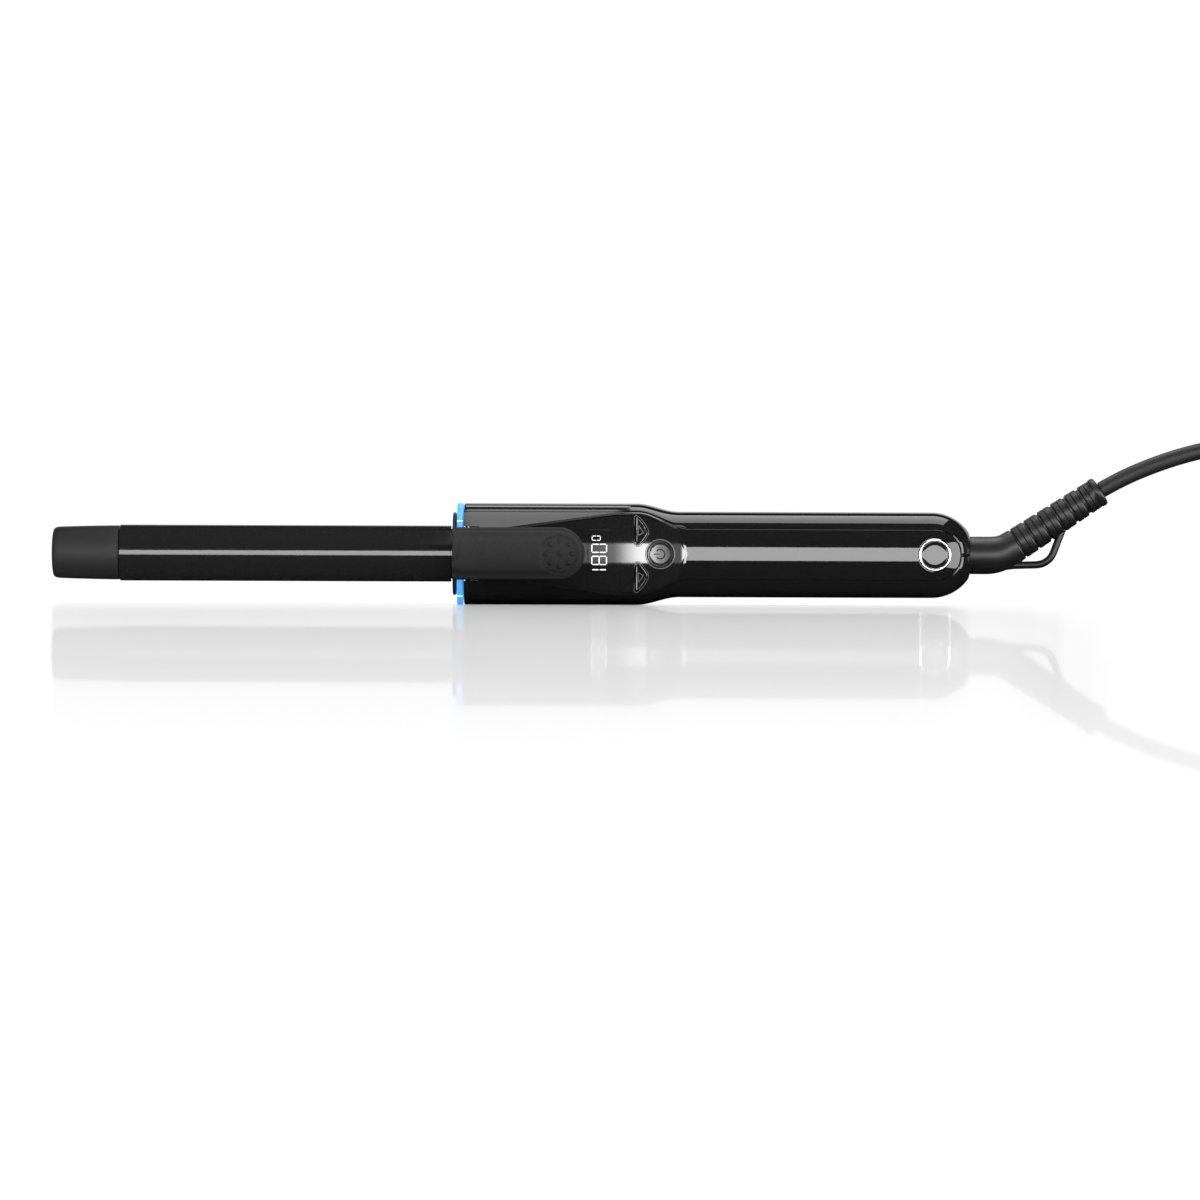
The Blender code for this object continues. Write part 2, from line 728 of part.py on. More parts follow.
def make_handle_front():
    """The collar with the hinge's ears, the light ring, its lamps and the barrel's bush."""
    collar_end = -RING_HALF_LENGTH - GAP
    outline = section(COLLAR_HALF_Y, COLLAR_HALF_Z, FRONT_SQUARENESS)
    softer = section(COLLAR_HALF_Y - 0.0005, COLLAR_HALF_Z - 0.0005, FRONT_SQUARENESS)
    collar = node(
        "collar_plate",
        loft_mesh(
            "collar_plate",
            [(COLLAR_START, softer), (COLLAR_START + 0.0005, outline), (collar_end, outline)],
        ),
        SATIN_BLACK,
        iron_axis,
    )
    neck_space = box_mesh(
        "cut_neck_space", (-0.01, -0.03, -NECK_HALF_WIDTH - 2 * GAP), (0.01, 0.0, NECK_HALF_WIDTH + 2 * GAP)
    )
    for label, side in (("upper", 1), ("lower", -1)):
        low = (collar_end - 0.0010, -0.0172, min(side * EAR_INNER, side * EAR_OUTER))
        high = (PIN_X + 0.0024, -0.0107, max(side * EAR_INNER, side * EAR_OUTER))
        name = f"ear_{label}"
        join(collar, helper(name, box_mesh(name, low, high), iron_axis))
        name = f"ear_round_{label}"
        knuckle = rod_mesh(
            name, (PIN_X, PIN_Y, side * EAR_INNER), (PIN_X, PIN_Y, side * EAR_OUTER), 0.0024, 16
        )
        join(collar, helper(name, knuckle, iron_axis))
    pin_hole = rod_mesh(
        "cut_pin_hole", (PIN_X, PIN_Y, -0.02), (PIN_X, PIN_Y, 0.02), PIN_RADIUS + GAP
    )
    cut(
        collar,
        helper("cut_neck_space", neck_space, iron_axis),
        barrel_bore("cut_collar_bore", CLIP_OUTER + 2 * GAP),
        helper("cut_pin_hole", pin_hole, iron_axis),
    )

    ring_section = section(FRONT_HALF_Y, FRONT_HALF_Z, FRONT_SQUARENESS)
    ring = node(
        "light_ring",
        loft_mesh("light_ring", [(-RING_HALF_LENGTH, ring_section), (RING_HALF_LENGTH, ring_section)]),
        LIGHT_BLUE,
        iron_axis,
    )
    inner = section(FRONT_HALF_Y - RING_DEPTH, FRONT_HALF_Z - RING_DEPTH, FRONT_SQUARENESS)
    hollow = loft_mesh("cut_ring_hollow", [(-0.01, inner), (0.01, inner)])
    cut(ring, helper("cut_ring_hollow", hollow, iron_axis), hinge_notch("cut_ring_notch"))

    depth = RING_DEPTH + GAP
    outer = section(FRONT_HALF_Y - depth, FRONT_HALF_Z - depth, FRONT_SQUARENESS)
    depth += BOARD_RING_DEPTH
    inner = section(FRONT_HALF_Y - depth, FRONT_HALF_Z - depth, FRONT_SQUARENESS)
    board = loft_mesh("ring_lamp_board", [(-0.0008, outer), (0.0008, outer)])
    lamps = node("ring_lamp_board", board, CERAMIC, iron_axis)
    hollow = loft_mesh("cut_lamp_hollow", [(-0.01, inner), (0.01, inner)])
    cut(
        lamps,
        helper("cut_lamp_hollow", hollow, iron_axis),
        hinge_notch("cut_lamp_notch"),
        barrel_bore("cut_lamp_bore", CLIP_OUTER + 2 * GAP),
    )

    depth = WALL + GAP
    block = section(FRONT_HALF_Y - depth, FRONT_HALF_Z - depth, FRONT_SQUARENESS)
    bush = node(
        "barrel_bush", loft_mesh("barrel_bush", [(BUSH_START, block), (BUSH_END, block)]), CERAMIC, iron_axis
    )
    space = box_mesh(
        "cut_bush_notch",
        (0, -0.04, -HINGE_NOTCH_HALF_WIDTH - GAP),
        (BUSH_END + 0.01, HINGE_NOTCH_FLOOR, HINGE_NOTCH_HALF_WIDTH + GAP),
    )
    cut(bush, barrel_bore("cut_bush_bore"), helper("cut_bush_notch", space, iron_axis))


# ---- barrel and heater ----------------------------------------------------------------


def make_barrel():
    inner = BARREL_RADIUS - BARREL_WALL
    profile = [
        (BARREL_END, BARREL_RADIUS),
        (BARREL_START, BARREL_RADIUS),
        (BARREL_START, inner),
        (BARREL_END, inner),
    ]
    node("barrel_tube", turned_mesh("barrel_tube", profile), COATED_BARREL, iron_axis)

    spigot_end = TIP_START + TIP_SPIGOT_LENGTH
    profile = [
        (spigot_end, 0.0),
        (spigot_end, TIP_SPIGOT_RADIUS),
        (TIP_START, TIP_SPIGOT_RADIUS),
        (TIP_START, TIP_RADIUS - 0.0002),
        (TIP_START - 0.0002, TIP_RADIUS),
        (TIP_END + 0.0100, (TIP_RADIUS + TIP_END_RADIUS) / 2),
        (TIP_END + 0.0018, TIP_END_RADIUS),
        (TIP_END + 0.0008, TIP_END_RADIUS - 0.0005),
        (TIP_END + 0.0003, TIP_END_RADIUS - 0.0018),
        (TIP_END, TIP_END_RADIUS * 0.45),
        (TIP_END, 0.0),
    ]
    node("cool_tip", turned_mesh("cool_tip", profile), MATT_BLACK, iron_axis)

    start = BARREL_START + 0.0005
    end = start + TIP_SPIGOT_LENGTH - 0.0015
    profile = [
        (end, inner - GAP),
        (start, inner - GAP),
        (start, TIP_SPIGOT_RADIUS + GAP),
        (end, TIP_SPIGOT_RADIUS + GAP),
    ]
    node("tip_insulator", turned_mesh("tip_insulator", profile), CERAMIC, iron_axis)

    half = HEATER_THICKNESS / 2
    plate = box_mesh(
        "heater_plate", (HEATER_START, -half, -HEATER_WIDTH / 2), (HEATER_END, half, HEATER_WIDTH / 2)
    )
    node("heater_plate", plate, CERAMIC, iron_axis)
    for label, side in (("front", -1), ("back", 1)):
        name = f"heat_spreader_{label}"
        start, end = HEATER_START - 0.002, HEATER_END + 0.002
        body = rod_mesh(name, (start, 0, 0), (end, 0, 0), inner - GAP, 20)
        spreader = node(name, body, ALUMINIUM, iron_axis)
        limits = sorted((side * (half + GAP), side * 0.03))
        half_space = box_mesh(f"keep_{name}", (start - 0.01, limits[0], -0.02), (end + 0.01, limits[1], 0.02))
        keep(spreader, helper(f"keep_{name}", half_space, iron_axis))
    fuse_start, fuse_end = HEATER_END + 0.0040, HEATER_END + 0.0140
    fuse = rod_mesh("thermal_fuse", (fuse_start, 0, 0.0045), (fuse_end, 0, 0.0045), 0.0018)
    node("thermal_fuse", fuse, STEEL, iron_axis)


# ---- the clamp ------------------------------------------------------------------------


def lever_under(x):
    """How far out the lever's underside is at x."""
    share = max(0.0, (x - LEVER_BEND) / (LEVER_END - LEVER_BEND))
    return LEVER_ROOT_UNDER + (LEVER_TAIL_UNDER - LEVER_ROOT_UNDER) * share


def lever_side_profile(start, end, shift_near, shift_far):
    """A band that follows the lever's underside, between two shifts away from the handle."""
    stops = [start, LEVER_BEND, end]
    near = [(x, lever_under(x) - shift_near) for x in stops]
    far = [(x, lever_under(x) - shift_far) for x in reversed(stops)]
    return near + far


def make_clip():
    neck_end = LEVER_START + 0.0011
    profile = [
        (neck_end, CLIP_OUTER),
        (CLIP_START, CLIP_OUTER),
        (CLIP_START, CLIP_INNER),
        (neck_end, CLIP_INNER),
    ]
    clip = node("clip_plate", turned_mesh("clip_plate", profile, 36), COATED_BARREL, clamp_axis)
    clip.location = -Vector(clamp_axis.location)
    edge = -GAP
    corner = list(arc((CLIP_START + CLIP_CORNER, edge - CLIP_CORNER), CLIP_CORNER, 180, 90, 6))
    outline = [(CLIP_START - 0.001, -0.03), (CLIP_START - 0.001, edge - CLIP_CORNER)]
    outline += [*corner, (0.01, edge), (0.01, -0.03)]
    side = prism_mesh("keep_clip_half", outline, "XY", -0.03, 0.03)
    keep(clip, helper("keep_clip_half", side, iron_axis))

    # the neck runs on from the clip's crown, turns outwards and follows the lever
    for label, way in (("upper", 1), ("lower", -1)):
        limits = sorted((way * 0.0046, way * 0.02))
        name = f"cut_beside_neck_{label}"
        space = box_mesh(name, (CLIP_END, -0.03, limits[0]), (0.01, 0.01, limits[1]))
        cut(clip, helper(name, space, iron_axis))
    near = LEVER_START + 0.0002
    riser = box_mesh(
        "neck_riser",
        (near, lever_under(near) + GAP + CLIP_WALL / 2, -NECK_HALF_WIDTH),
        (neck_end + 0.0001, -CLIP_INNER - 0.0002, NECK_HALF_WIDTH),
    )
    tongue = prism_mesh(
        "neck_tongue",
        lever_side_profile(near + 0.0001, 0.0200, -GAP - CLIP_WALL, -GAP),
        "XY",
        -NECK_HALF_WIDTH + 0.0001,
        NECK_HALF_WIDTH - 0.0001,
    )
    join(clip, helper("neck_riser", riser, iron_axis), helper("neck_tongue", tongue, iron_axis))
    for label, x in LEVER_SCREWS:
        hole = lever_rod(f"cut_tongue_{label}", x, -0.004, 0.006, LEVER_SCREW_RADIUS + GAP)
        cut(clip, helper(f"cut_tongue_{label}", hole, iron_axis))


def lever_rod(name, x, start, end, radius):
    """A rod square to the lever's sloping part at x, from start to end below its underside."""
    slope = (LEVER_TAIL_UNDER - LEVER_ROOT_UNDER) / (LEVER_END - LEVER_BEND)
    down = Vector((-slope, 1.0, 0.0)).normalized()
    foot = Vector((x, lever_under(x), 0.0))
    return rod_mesh(name, foot + down * start, foot + down * end, radius)


def make_lever():
    radius = LEVER_HALF_WIDTH * 0.98
    plan = [(LEVER_START, LEVER_HALF_WIDTH - 0.0008), (LEVER_START + 0.0008, LEVER_HALF_WIDTH)]
    plan += list(arc((LEVER_END - radius, 0.0), LEVER_HALF_WIDTH, 90, -90, 16))
    plan += [(LEVER_START + 0.0008, -LEVER_HALF_WIDTH), (LEVER_START, -LEVER_HALF_WIDTH + 0.0008)]
    lever = node(
        "thumb_lever", prism_mesh("thumb_lever", plan, "XZ", -0.035, -0.010), MATT_BLACK, clamp_axis
    )
    lever.location = -Vector(clamp_axis.location)
    # the plate and, at each side of its root, a skirt with the hinge's knuckle
    plate = prism_mesh(
        "keep_plate", lever_side_profile(LEVER_START - 0.001, LEVER_END + 0.002, 0.0, LEVER_THICKNESS), "XY",
        -0.02, 0.02,
    )
    profile = helper("keep_plate", plate, iron_axis)
    skirt_outline = [
        (LEVER_START - 0.0005, lever_under(LEVER_START) - 0.001),
        (LEVER_START - 0.0005, -0.0188),
        (PIN_X - 0.0022, PIN_Y - 0.0012),
        *arc((PIN_X, PIN_Y), 0.0025, 160, 20, 8),
        (PIN_X + 0.0026, PIN_Y - 0.0012),
        (0.0150, lever_under(0.0150) + 0.0003),
        (0.0150, lever_under(0.0150) - 0.001),
        (LEVER_BEND, lever_under(LEVER_BEND) - 0.001),
    ]
    for label, side in (("upper", 1), ("lower", -1)):
        limits = sorted((side * (LEVER_HALF_WIDTH - LEVER_SKIRT), side * 0.015))
        name = f"skirt_{label}"
        join(profile, helper(name, prism_mesh(name, skirt_outline, "XY", *limits), iron_axis))
    keep(lever, profile)
    hole = rod_mesh("cut_lever_pin", (PIN_X, PIN_Y, -0.02), (PIN_X, PIN_Y, 0.02), PIN_RADIUS + GAP)
    cut(lever, helper("cut_lever_pin", hole, iron_axis))
    floor = lever_under(DIMPLE_X) - LEVER_THICKNESS + DIMPLE_DEPTH
    dimple = rod_mesh("cut_dimple", (DIMPLE_X, -0.040, 0), (DIMPLE_X, floor, 0), DIMPLE_RADIUS, 24)
    cut(lever, helper("cut_dimple", dimple, iron_axis))
    for label, x in LEVER_SCREWS:
        name = f"cut_lever_screw_{label}"
        cut(lever, helper(name, lever_rod(name, x, -0.0017, 0.006, LEVER_SCREW_RADIUS + GAP), iron_axis))
        name = f"lever_screw_{label}"
        screw = node(name, lever_rod(name, x, -0.0014, 0.0018, LEVER_SCREW_RADIUS), STEEL, clamp_axis)
        screw.location = -Vector(clamp_axis.location)
        under = CLIP_WALL + 2 * GAP
        head = lever_rod(name + "_head", x, under, under + LEVER_SCREW_HEAD, LEVER_SCREW_RADIUS * 1.8)
        join(screw, helper(name + "_head", head, iron_axis))


def make_hinge():
    reach = LEVER_HALF_WIDTH + 0.0002
    pin = rod_mesh("hinge_pin", (PIN_X, PIN_Y, -reach), (PIN_X, PIN_Y, reach), PIN_RADIUS, 16)
    node("hinge_pin", pin, STEEL, iron_axis)

    coil = PIN_RADIUS + GAP + SPRING_WIRE
    steps = SPRING_TURNS * 10
    points = [(PIN_X + 0.0040, -0.0176, -SPRING_HALF_WIDTH)]
    for k in range(steps + 1):
        angle = -math.pi / 2 + 2 * math.pi * SPRING_TURNS * k / steps
        rise = -SPRING_HALF_WIDTH + 2 * SPRING_HALF_WIDTH * k / steps
        points.append((PIN_X + coil * math.cos(angle), PIN_Y + coil * math.sin(angle), rise))
    points.append((PIN_X + 0.0036, -0.0178, SPRING_HALF_WIDTH))
    spring = node("torsion_spring", tube_mesh("torsion_spring", points, SPRING_WIRE, 1), STEEL, clamp_axis)
    spring.location = -Vector(clamp_axis.location)


# ---- controls -------------------------------------------------------------------------


def make_controls():
    face = -FRONT_HALF_Y - FASCIA_RAISE
    window = box_mesh(
        "display_window",
        (DISPLAY_START + GAP, face, DISPLAY_LOW + GAP),
        (DISPLAY_END - GAP, face + 0.0016, DISPLAY_HIGH - GAP),
    )
    lens = node("display_window", window, SMOKED, iron_axis)
    curved = handle_form("keep_window", FASCIA_RAISE, 0.040, 0.065)
    keep(lens, helper("keep_window", curved, iron_axis))
    module = box_mesh(
        "display_module",
        (DISPLAY_START + 2 * GAP, face + 0.0019 + GAP, DISPLAY_LOW + 2 * GAP),
        (DISPLAY_END - 2 * GAP, BOARD_FRONT - GAP, DISPLAY_HIGH - 2 * GAP),
    )
    node("display_module", module, CERAMIC, iron_axis)
    board = box_mesh(
        "control_board",
        (BOARD_START, BOARD_FRONT, -BOARD_HALF_WIDTH),
        (BOARD_END, BOARD_FRONT + BOARD_THICKNESS, BOARD_HALF_WIDTH),
    )
    node("control_board", board, CIRCUIT_GREEN, iron_axis)

    half = SWITCH_SIZE / 2
    wing_x = WING_X + 0.0020
    places = (("power", POWER_X, 0.0), ("up", wing_x, WING_CENTRE_Z), ("down", wing_x, -WING_CENTRE_Z))
    for label, x, z in places:
        name = f"{label}_switch"
        back = BOARD_FRONT - GAP
        body = box_mesh(name, (x - half, back - SWITCH_HEIGHT, z - half), (x + half, back, z + half), 0.0004)
        node(name, body, SATIN_BLACK, iron_axis)

    flange_end = BUTTON_FLANGE_REST
    top = -handle_sizes(POWER_X)[0] - FASCIA_RAISE - BUTTON_RAISE
    power = rod_mesh("power_button", (POWER_X, top, 0), (POWER_X, flange_end, 0), POWER_RADIUS, ROUND)
    button = node("power_button", power, GLOSS_BLACK, power_axis)
    button.location = -Vector(power_axis.location)
    flange = rod_mesh(
        "power_flange", (POWER_X, flange_end - BUTTON_FLANGE, 0), (POWER_X, flange_end, 0),
        POWER_RADIUS + 0.0010, ROUND,
    )
    join(button, helper("power_flange", flange, iron_axis))
    for label, side, pivot in (("up", 1, up_axis), ("down", -1, down_axis)):
        name = f"{label}_button"
        outline = [(x, z * side) for x, z in wing_outline(0.0)]
        base = prism_mesh(name, outline, "XZ", -FRONT_HALF_Y - 0.001, flange_end)
        wing = node(name, base, GLOSS_BLACK, pivot)
        wing.location = -Vector(pivot.location)
        crown = handle_form(f"keep_{name}", FASCIA_RAISE + 0.0004, 0.055, 0.085)
        keep(wing, helper(f"keep_{name}", crown, iron_axis))
        foot = box_mesh(
            f"{name}_foot",
            (WING_X - 0.0007, flange_end - BUTTON_FLANGE, side * 0.0068 - 0.0022),
            (WING_X + 0.0035, flange_end, side * 0.0068 + 0.0022),
        )
        join(wing, helper(f"{name}_foot", foot, iron_axis))


# ---- electronics ----------------------------------------------------------------------


def make_electronics():
    front = POWER_BOARD_BACK - BOARD_THICKNESS
    low = (POWER_BOARD_START, front, -0.0105)
    board = box_mesh("power_board", low, (POWER_BOARD_END, POWER_BOARD_BACK, 0.0105))
    node("power_board", board, CIRCUIT_GREEN, iron_axis)
    top = front - GAP
    film = box_mesh("film_capacitor", (0.1010, top - 0.0095, -0.0075), (0.1160, top, 0.0005), 0.0006)
    node("film_capacitor", film, COMPONENT_BLUE, iron_axis)
    can = rod_mesh("filter_capacitor", (0.1075, top - 0.0090, 0.0055), (0.1075, top, 0.0055), 0.0032, 18)
    node("filter_capacitor", can, SATIN_BLACK, iron_axis)
    triac = box_mesh("triac", (0.1230, top - 0.0085, -0.0050), (0.1270, top, 0.0050), 0.0003)
    node("triac", triac, SATIN_BLACK, iron_axis)
    fuse = rod_mesh("mains_fuse", (0.1330, top - 0.0030, 0.0040), (0.1420, top - 0.0030, 0.0040), 0.0026, 12)
    node("mains_fuse", fuse, CERAMIC, iron_axis)

    for label, side in (("live", 1), ("neutral", -1)):
        points = [
            (BARREL_END - 0.0260, 0.0030, side * 0.0022),
            (BARREL_END - 0.0100, 0.0030, side * 0.0025),
            (BARREL_END + 0.0060, 0.0030, side * 0.0030),
            (0.0500, 0.0042, side * 0.0060),
            (0.0800, 0.0058, side * 0.0085),
            (0.0955, 0.0075, side * 0.0085),
            (0.1020, 0.0078, side * 0.0082),
        ]
        name = f"heater_lead_{label}"
        node(name, tube_mesh(name, points, LEAD_RADIUS), BRASS if side > 0 else RUBBER, iron_axis)
        ring_x = (LIVE_RING_X if side > 0 else NEUTRAL_RING_X) + SLIP_RING_LENGTH / 2
        points = [
            (POWER_BOARD_END - 0.0060, 0.0078, side * 0.0080),
            (POWER_BOARD_END + 0.0020, 0.0078, side * 0.0082),
            (SPOOL_STUB_START - 0.0100, 0.0082, side * 0.0075),
            (SPOOL_STUB_START - 0.0040, 0.0086, side * 0.0045),
            (SPOOL_STUB_START - 0.0010, 0.0088, side * 0.0035),
        ]
        name = f"supply_lead_{label}"
        node(name, tube_mesh(name, points, LEAD_RADIUS), BRASS if side > 0 else RUBBER, iron_axis)
        name = f"{label}_brush"
        low = (ring_x - 0.0010, min(side * 0.0053, side * 0.0067), -0.0014)
        high = (ring_x + 0.0010, max(side * 0.0053, side * 0.0067), 0.0014)
        node(name, box_mesh(name, low, high), COPPER, iron_axis)


# ---- the swivelling cord entry --------------------------------------------------------


def make_swivel():
    profile = [
        (SOCKET_END, SOCKET_RADIUS - 0.0006),
        (SOCKET_START, SOCKET_RADIUS),
        (SOCKET_START, SPOOL_FLANGE_RADIUS + GAP),
        (SOCKET_END - 0.0020, SPOOL_FLANGE_RADIUS + GAP),
        (SOCKET_END - 0.0020, GLAND_RADIUS + GAP),
        (SOCKET_END, GLAND_RADIUS + GAP),
    ]
    node("swivel_socket", turned_mesh("swivel_socket", profile), SATIN_BLACK, iron_axis)
    profile = [
        (SOCKET_START - GAP, SOCKET_RADIUS),
        (SPOOL_STUB_START, SOCKET_RADIUS),
        (SPOOL_STUB_START, 0.0070),
        (SOCKET_START - GAP, 0.0070),
    ]
    node("brush_carrier", turned_mesh("brush_carrier", profile), SATIN_BLACK, iron_axis)
    spool_end = SOCKET_END + 0.0002
    flange_end = SOCKET_END - 0.0020 - GAP
    profile = [
        (spool_end, 0.0),
        (spool_end, GLAND_RADIUS),
        (flange_end, GLAND_RADIUS),
        (flange_end, SPOOL_FLANGE_RADIUS),
        (SPOOL_FLANGE_START, SPOOL_FLANGE_RADIUS),
        (SPOOL_FLANGE_START, SPOOL_STUB_RADIUS),
        (SPOOL_STUB_START, SPOOL_STUB_RADIUS),
        (SPOOL_STUB_START, 0.0),
    ]
    spool = node("swivel_spool", turned_mesh("swivel_spool", profile), SATIN_BLACK, swivel_axis)
    spool.location = -Vector(swivel_axis.location)
    for label, start in (("live", LIVE_RING_X), ("neutral", NEUTRAL_RING_X)):
        end = start + SLIP_RING_LENGTH
        inner = SPOOL_STUB_RADIUS + GAP
        profile = [(end, SLIP_RING_RADIUS), (start, SLIP_RING_RADIUS), (start, inner), (end, inner)]
        name = f"slip_ring_{label}"
        ring = node(name, turned_mesh(name, profile, 20), BRASS, swivel_axis)
        ring.location = -Vector(swivel_axis.location)
    make_boot(spool_end + GAP)


def boot_point(distance):
    """A point on the boot's slanting centre line, by its distance from the gland's corner."""
    return Vector(
        (
            GLAND_CORNER_X + distance * math.cos(BOOT_ANGLE),
            0.0,
            distance * math.sin(BOOT_ANGLE),
        )
    )


def make_boot(start):
    """The rubber gland, its bend, the ribbed strain relief and the hanging loop."""
    bend_radius = BOOT_BEND_TANGENT / math.tan(BOOT_ANGLE / 2)
    bend_start = GLAND_CORNER_X - BOOT_BEND_TANGENT
    points = [Vector((start, 0, 0)), Vector((bend_start - 0.004, 0, 0))]
    radii = [GLAND_RADIUS, GLAND_RADIUS]
    steps = 5
    for k in range(steps + 1):
        angle = BOOT_ANGLE * k / steps
        points.append(
            Vector((bend_start + bend_radius * math.sin(angle), 0, bend_radius * (1 - math.cos(angle))))
        )
        radii.append(GLAND_RADIUS + (BOOT_START_RADIUS + 0.0003 - GLAND_RADIUS) * ease(k / steps))
    pitch = BOOT_LENGTH * 0.93 / BOOT_RIBS
    for k in range(BOOT_RIBS):
        at = BOOT_SEAM_DISTANCE + pitch * k
        share = k / BOOT_RIBS
        radius = BOOT_START_RADIUS + (BOOT_END_RADIUS - BOOT_START_RADIUS) * share
        for along, depth in ((0.0, 0.0), (0.0001, BOOT_GROOVE), (0.0008, BOOT_GROOVE), (0.0009, 0.0)):
            points.append(boot_point(at + along))
            radii.append(radius - depth)
    end = BOOT_SEAM_DISTANCE + BOOT_LENGTH
    flange = end - BOOT_LENGTH * 0.07
    for at, radius in (
        (flange, BOOT_END_RADIUS - 0.0001),
        (flange + 0.0004, BOOT_END_RADIUS + 0.0002),
        (end - 0.0008, BOOT_END_RADIUS + 0.0002),
        (end, BOOT_END_RADIUS - 0.0008),
    ):
        points.append(boot_point(at))
        radii.append(radius)
    boot = node("cord_boot", tube_mesh("cord_boot", points, radii, 4), RUBBER, swivel_axis)
    boot.location = -Vector(swivel_axis.location)
    loop = [
        (GLAND_CORNER_X - 0.0004, 0, -0.0046),
        (GLAND_CORNER_X + 0.0051, 0, -0.0038),
        (GLAND_CORNER_X + 0.0100, 0, -0.0036),
        (GLAND_CORNER_X + 0.0141, 0, -0.0035),
        (GLAND_CORNER_X + 0.0167, 0, -0.0028),
        (GLAND_CORNER_X + 0.0189, 0, -0.0012),
        (GLAND_CORNER_X + 0.0202, 0, 0.0008),
        (GLAND_CORNER_X + 0.0213, 0, 0.0036),
        (GLAND_CORNER_X + 0.0226, 0, 0.0070),
        (GLAND_CORNER_X + 0.0239, 0, 0.0105),
    ]
    join(boot, helper("hang_loop", tube_mesh("hang_loop", loop, LOOP_RADIUS), iron_axis))


# ---- the cord -------------------------------------------------------------------------

# The free stretch's route, from the boot's end over its arch and down into the hank.
CORD_ROUTE = [
    (0.2433, 0.0000, 0.0443),
    (0.2495, 0.0001, 0.0477),
    (0.2564, 0.0003, 0.0510),
    (0.2650, 0.0006, 0.0544),
    (0.2735, 0.0010, 0.0572),
    (0.2830, 0.0016, 0.0596),
    (0.2930, 0.0023, 0.0608),
    (0.3030, 0.0032, 0.0606),
    (0.3130, 0.0042, 0.0583),
    (0.3230, 0.0054, 0.0536),
    (0.3330, 0.0067, 0.0462),
    (0.3420, 0.0079, 0.0374),
    (0.3510, 0.0091, 0.0280),
    (0.3605, 0.0103, 0.0190),
    (0.3710, 0.0114, 0.0113),
    (0.3830, 0.0122, 0.0062),
    (0.3935, 0.0127, 0.0044),
]

# The tail's route, from the hank's last fold over its top to the plug.
TAIL_ROUTE = [
    (0.4100, 0.01275, 0.0299),
    (0.4200, 0.0115, 0.0302),
    (0.4320, 0.0078, 0.0308),
    (0.4450, 0.0028, 0.0316),
    (0.4580, -0.0018, 0.0324),
    (0.4700, -0.0047, 0.0330),
    (0.4775, -0.0057, 0.0333),
]


def smooth_line(route, spacing):
    """Points at about one spacing on a smooth curve through the route's own points."""
    line = [Vector(point) for point in route]
    line = [line[0] * 2 - line[1], *line, line[-1] * 2 - line[-2]]
    fine = []
    for before, start, end, after in zip(line, line[1:], line[2:], line[3:]):
        for k in range(20):
            t = k / 20
            fine.append(
                0.5
                * (
                    2 * start
                    + (end - before) * t
                    + (2 * before - 5 * start + 4 * end - after) * t**2
                    + (3 * start - before - 3 * end + after) * t**3
                )
            )
    fine.append(line[-2])
    total = sum((b - a).length for a, b in zip(fine, fine[1:]))
    count = max(2, round(total / spacing))
    found, walked = [fine[0]], 0.0
    for a, b in zip(fine, fine[1:]):
        walked += (b - a).length
        if walked >= total * len(found) / count - 1e-9 and len(found) < count:
            found.append(b)
    return [*found, fine[-1]]


def hank_outline():
    """Half a hank is a straight side from the waist and a round end, in the XY plane."""
    steps = 6
    outer = HANK_FOLD_RADIUS + CORD_RADIUS
    waist = HANK_WAIST + CORD_RADIUS
    quarter = [
        (HANK_HALF_RUN * k / steps, waist + (outer - waist) * ease(k / steps)) for k in range(1, steps)
    ]
    right = list(arc((HANK_HALF_RUN, 0.0), outer, 90, -90, 14))
    upper = [(0.0, waist), *quarter, *right]
    lower = [(x, -y) for x, y in reversed(quarter)] + [(0.0, -waist)]
    half = upper + lower
    return half + [(-x, y) for x, y in reversed(half[1:-1])]


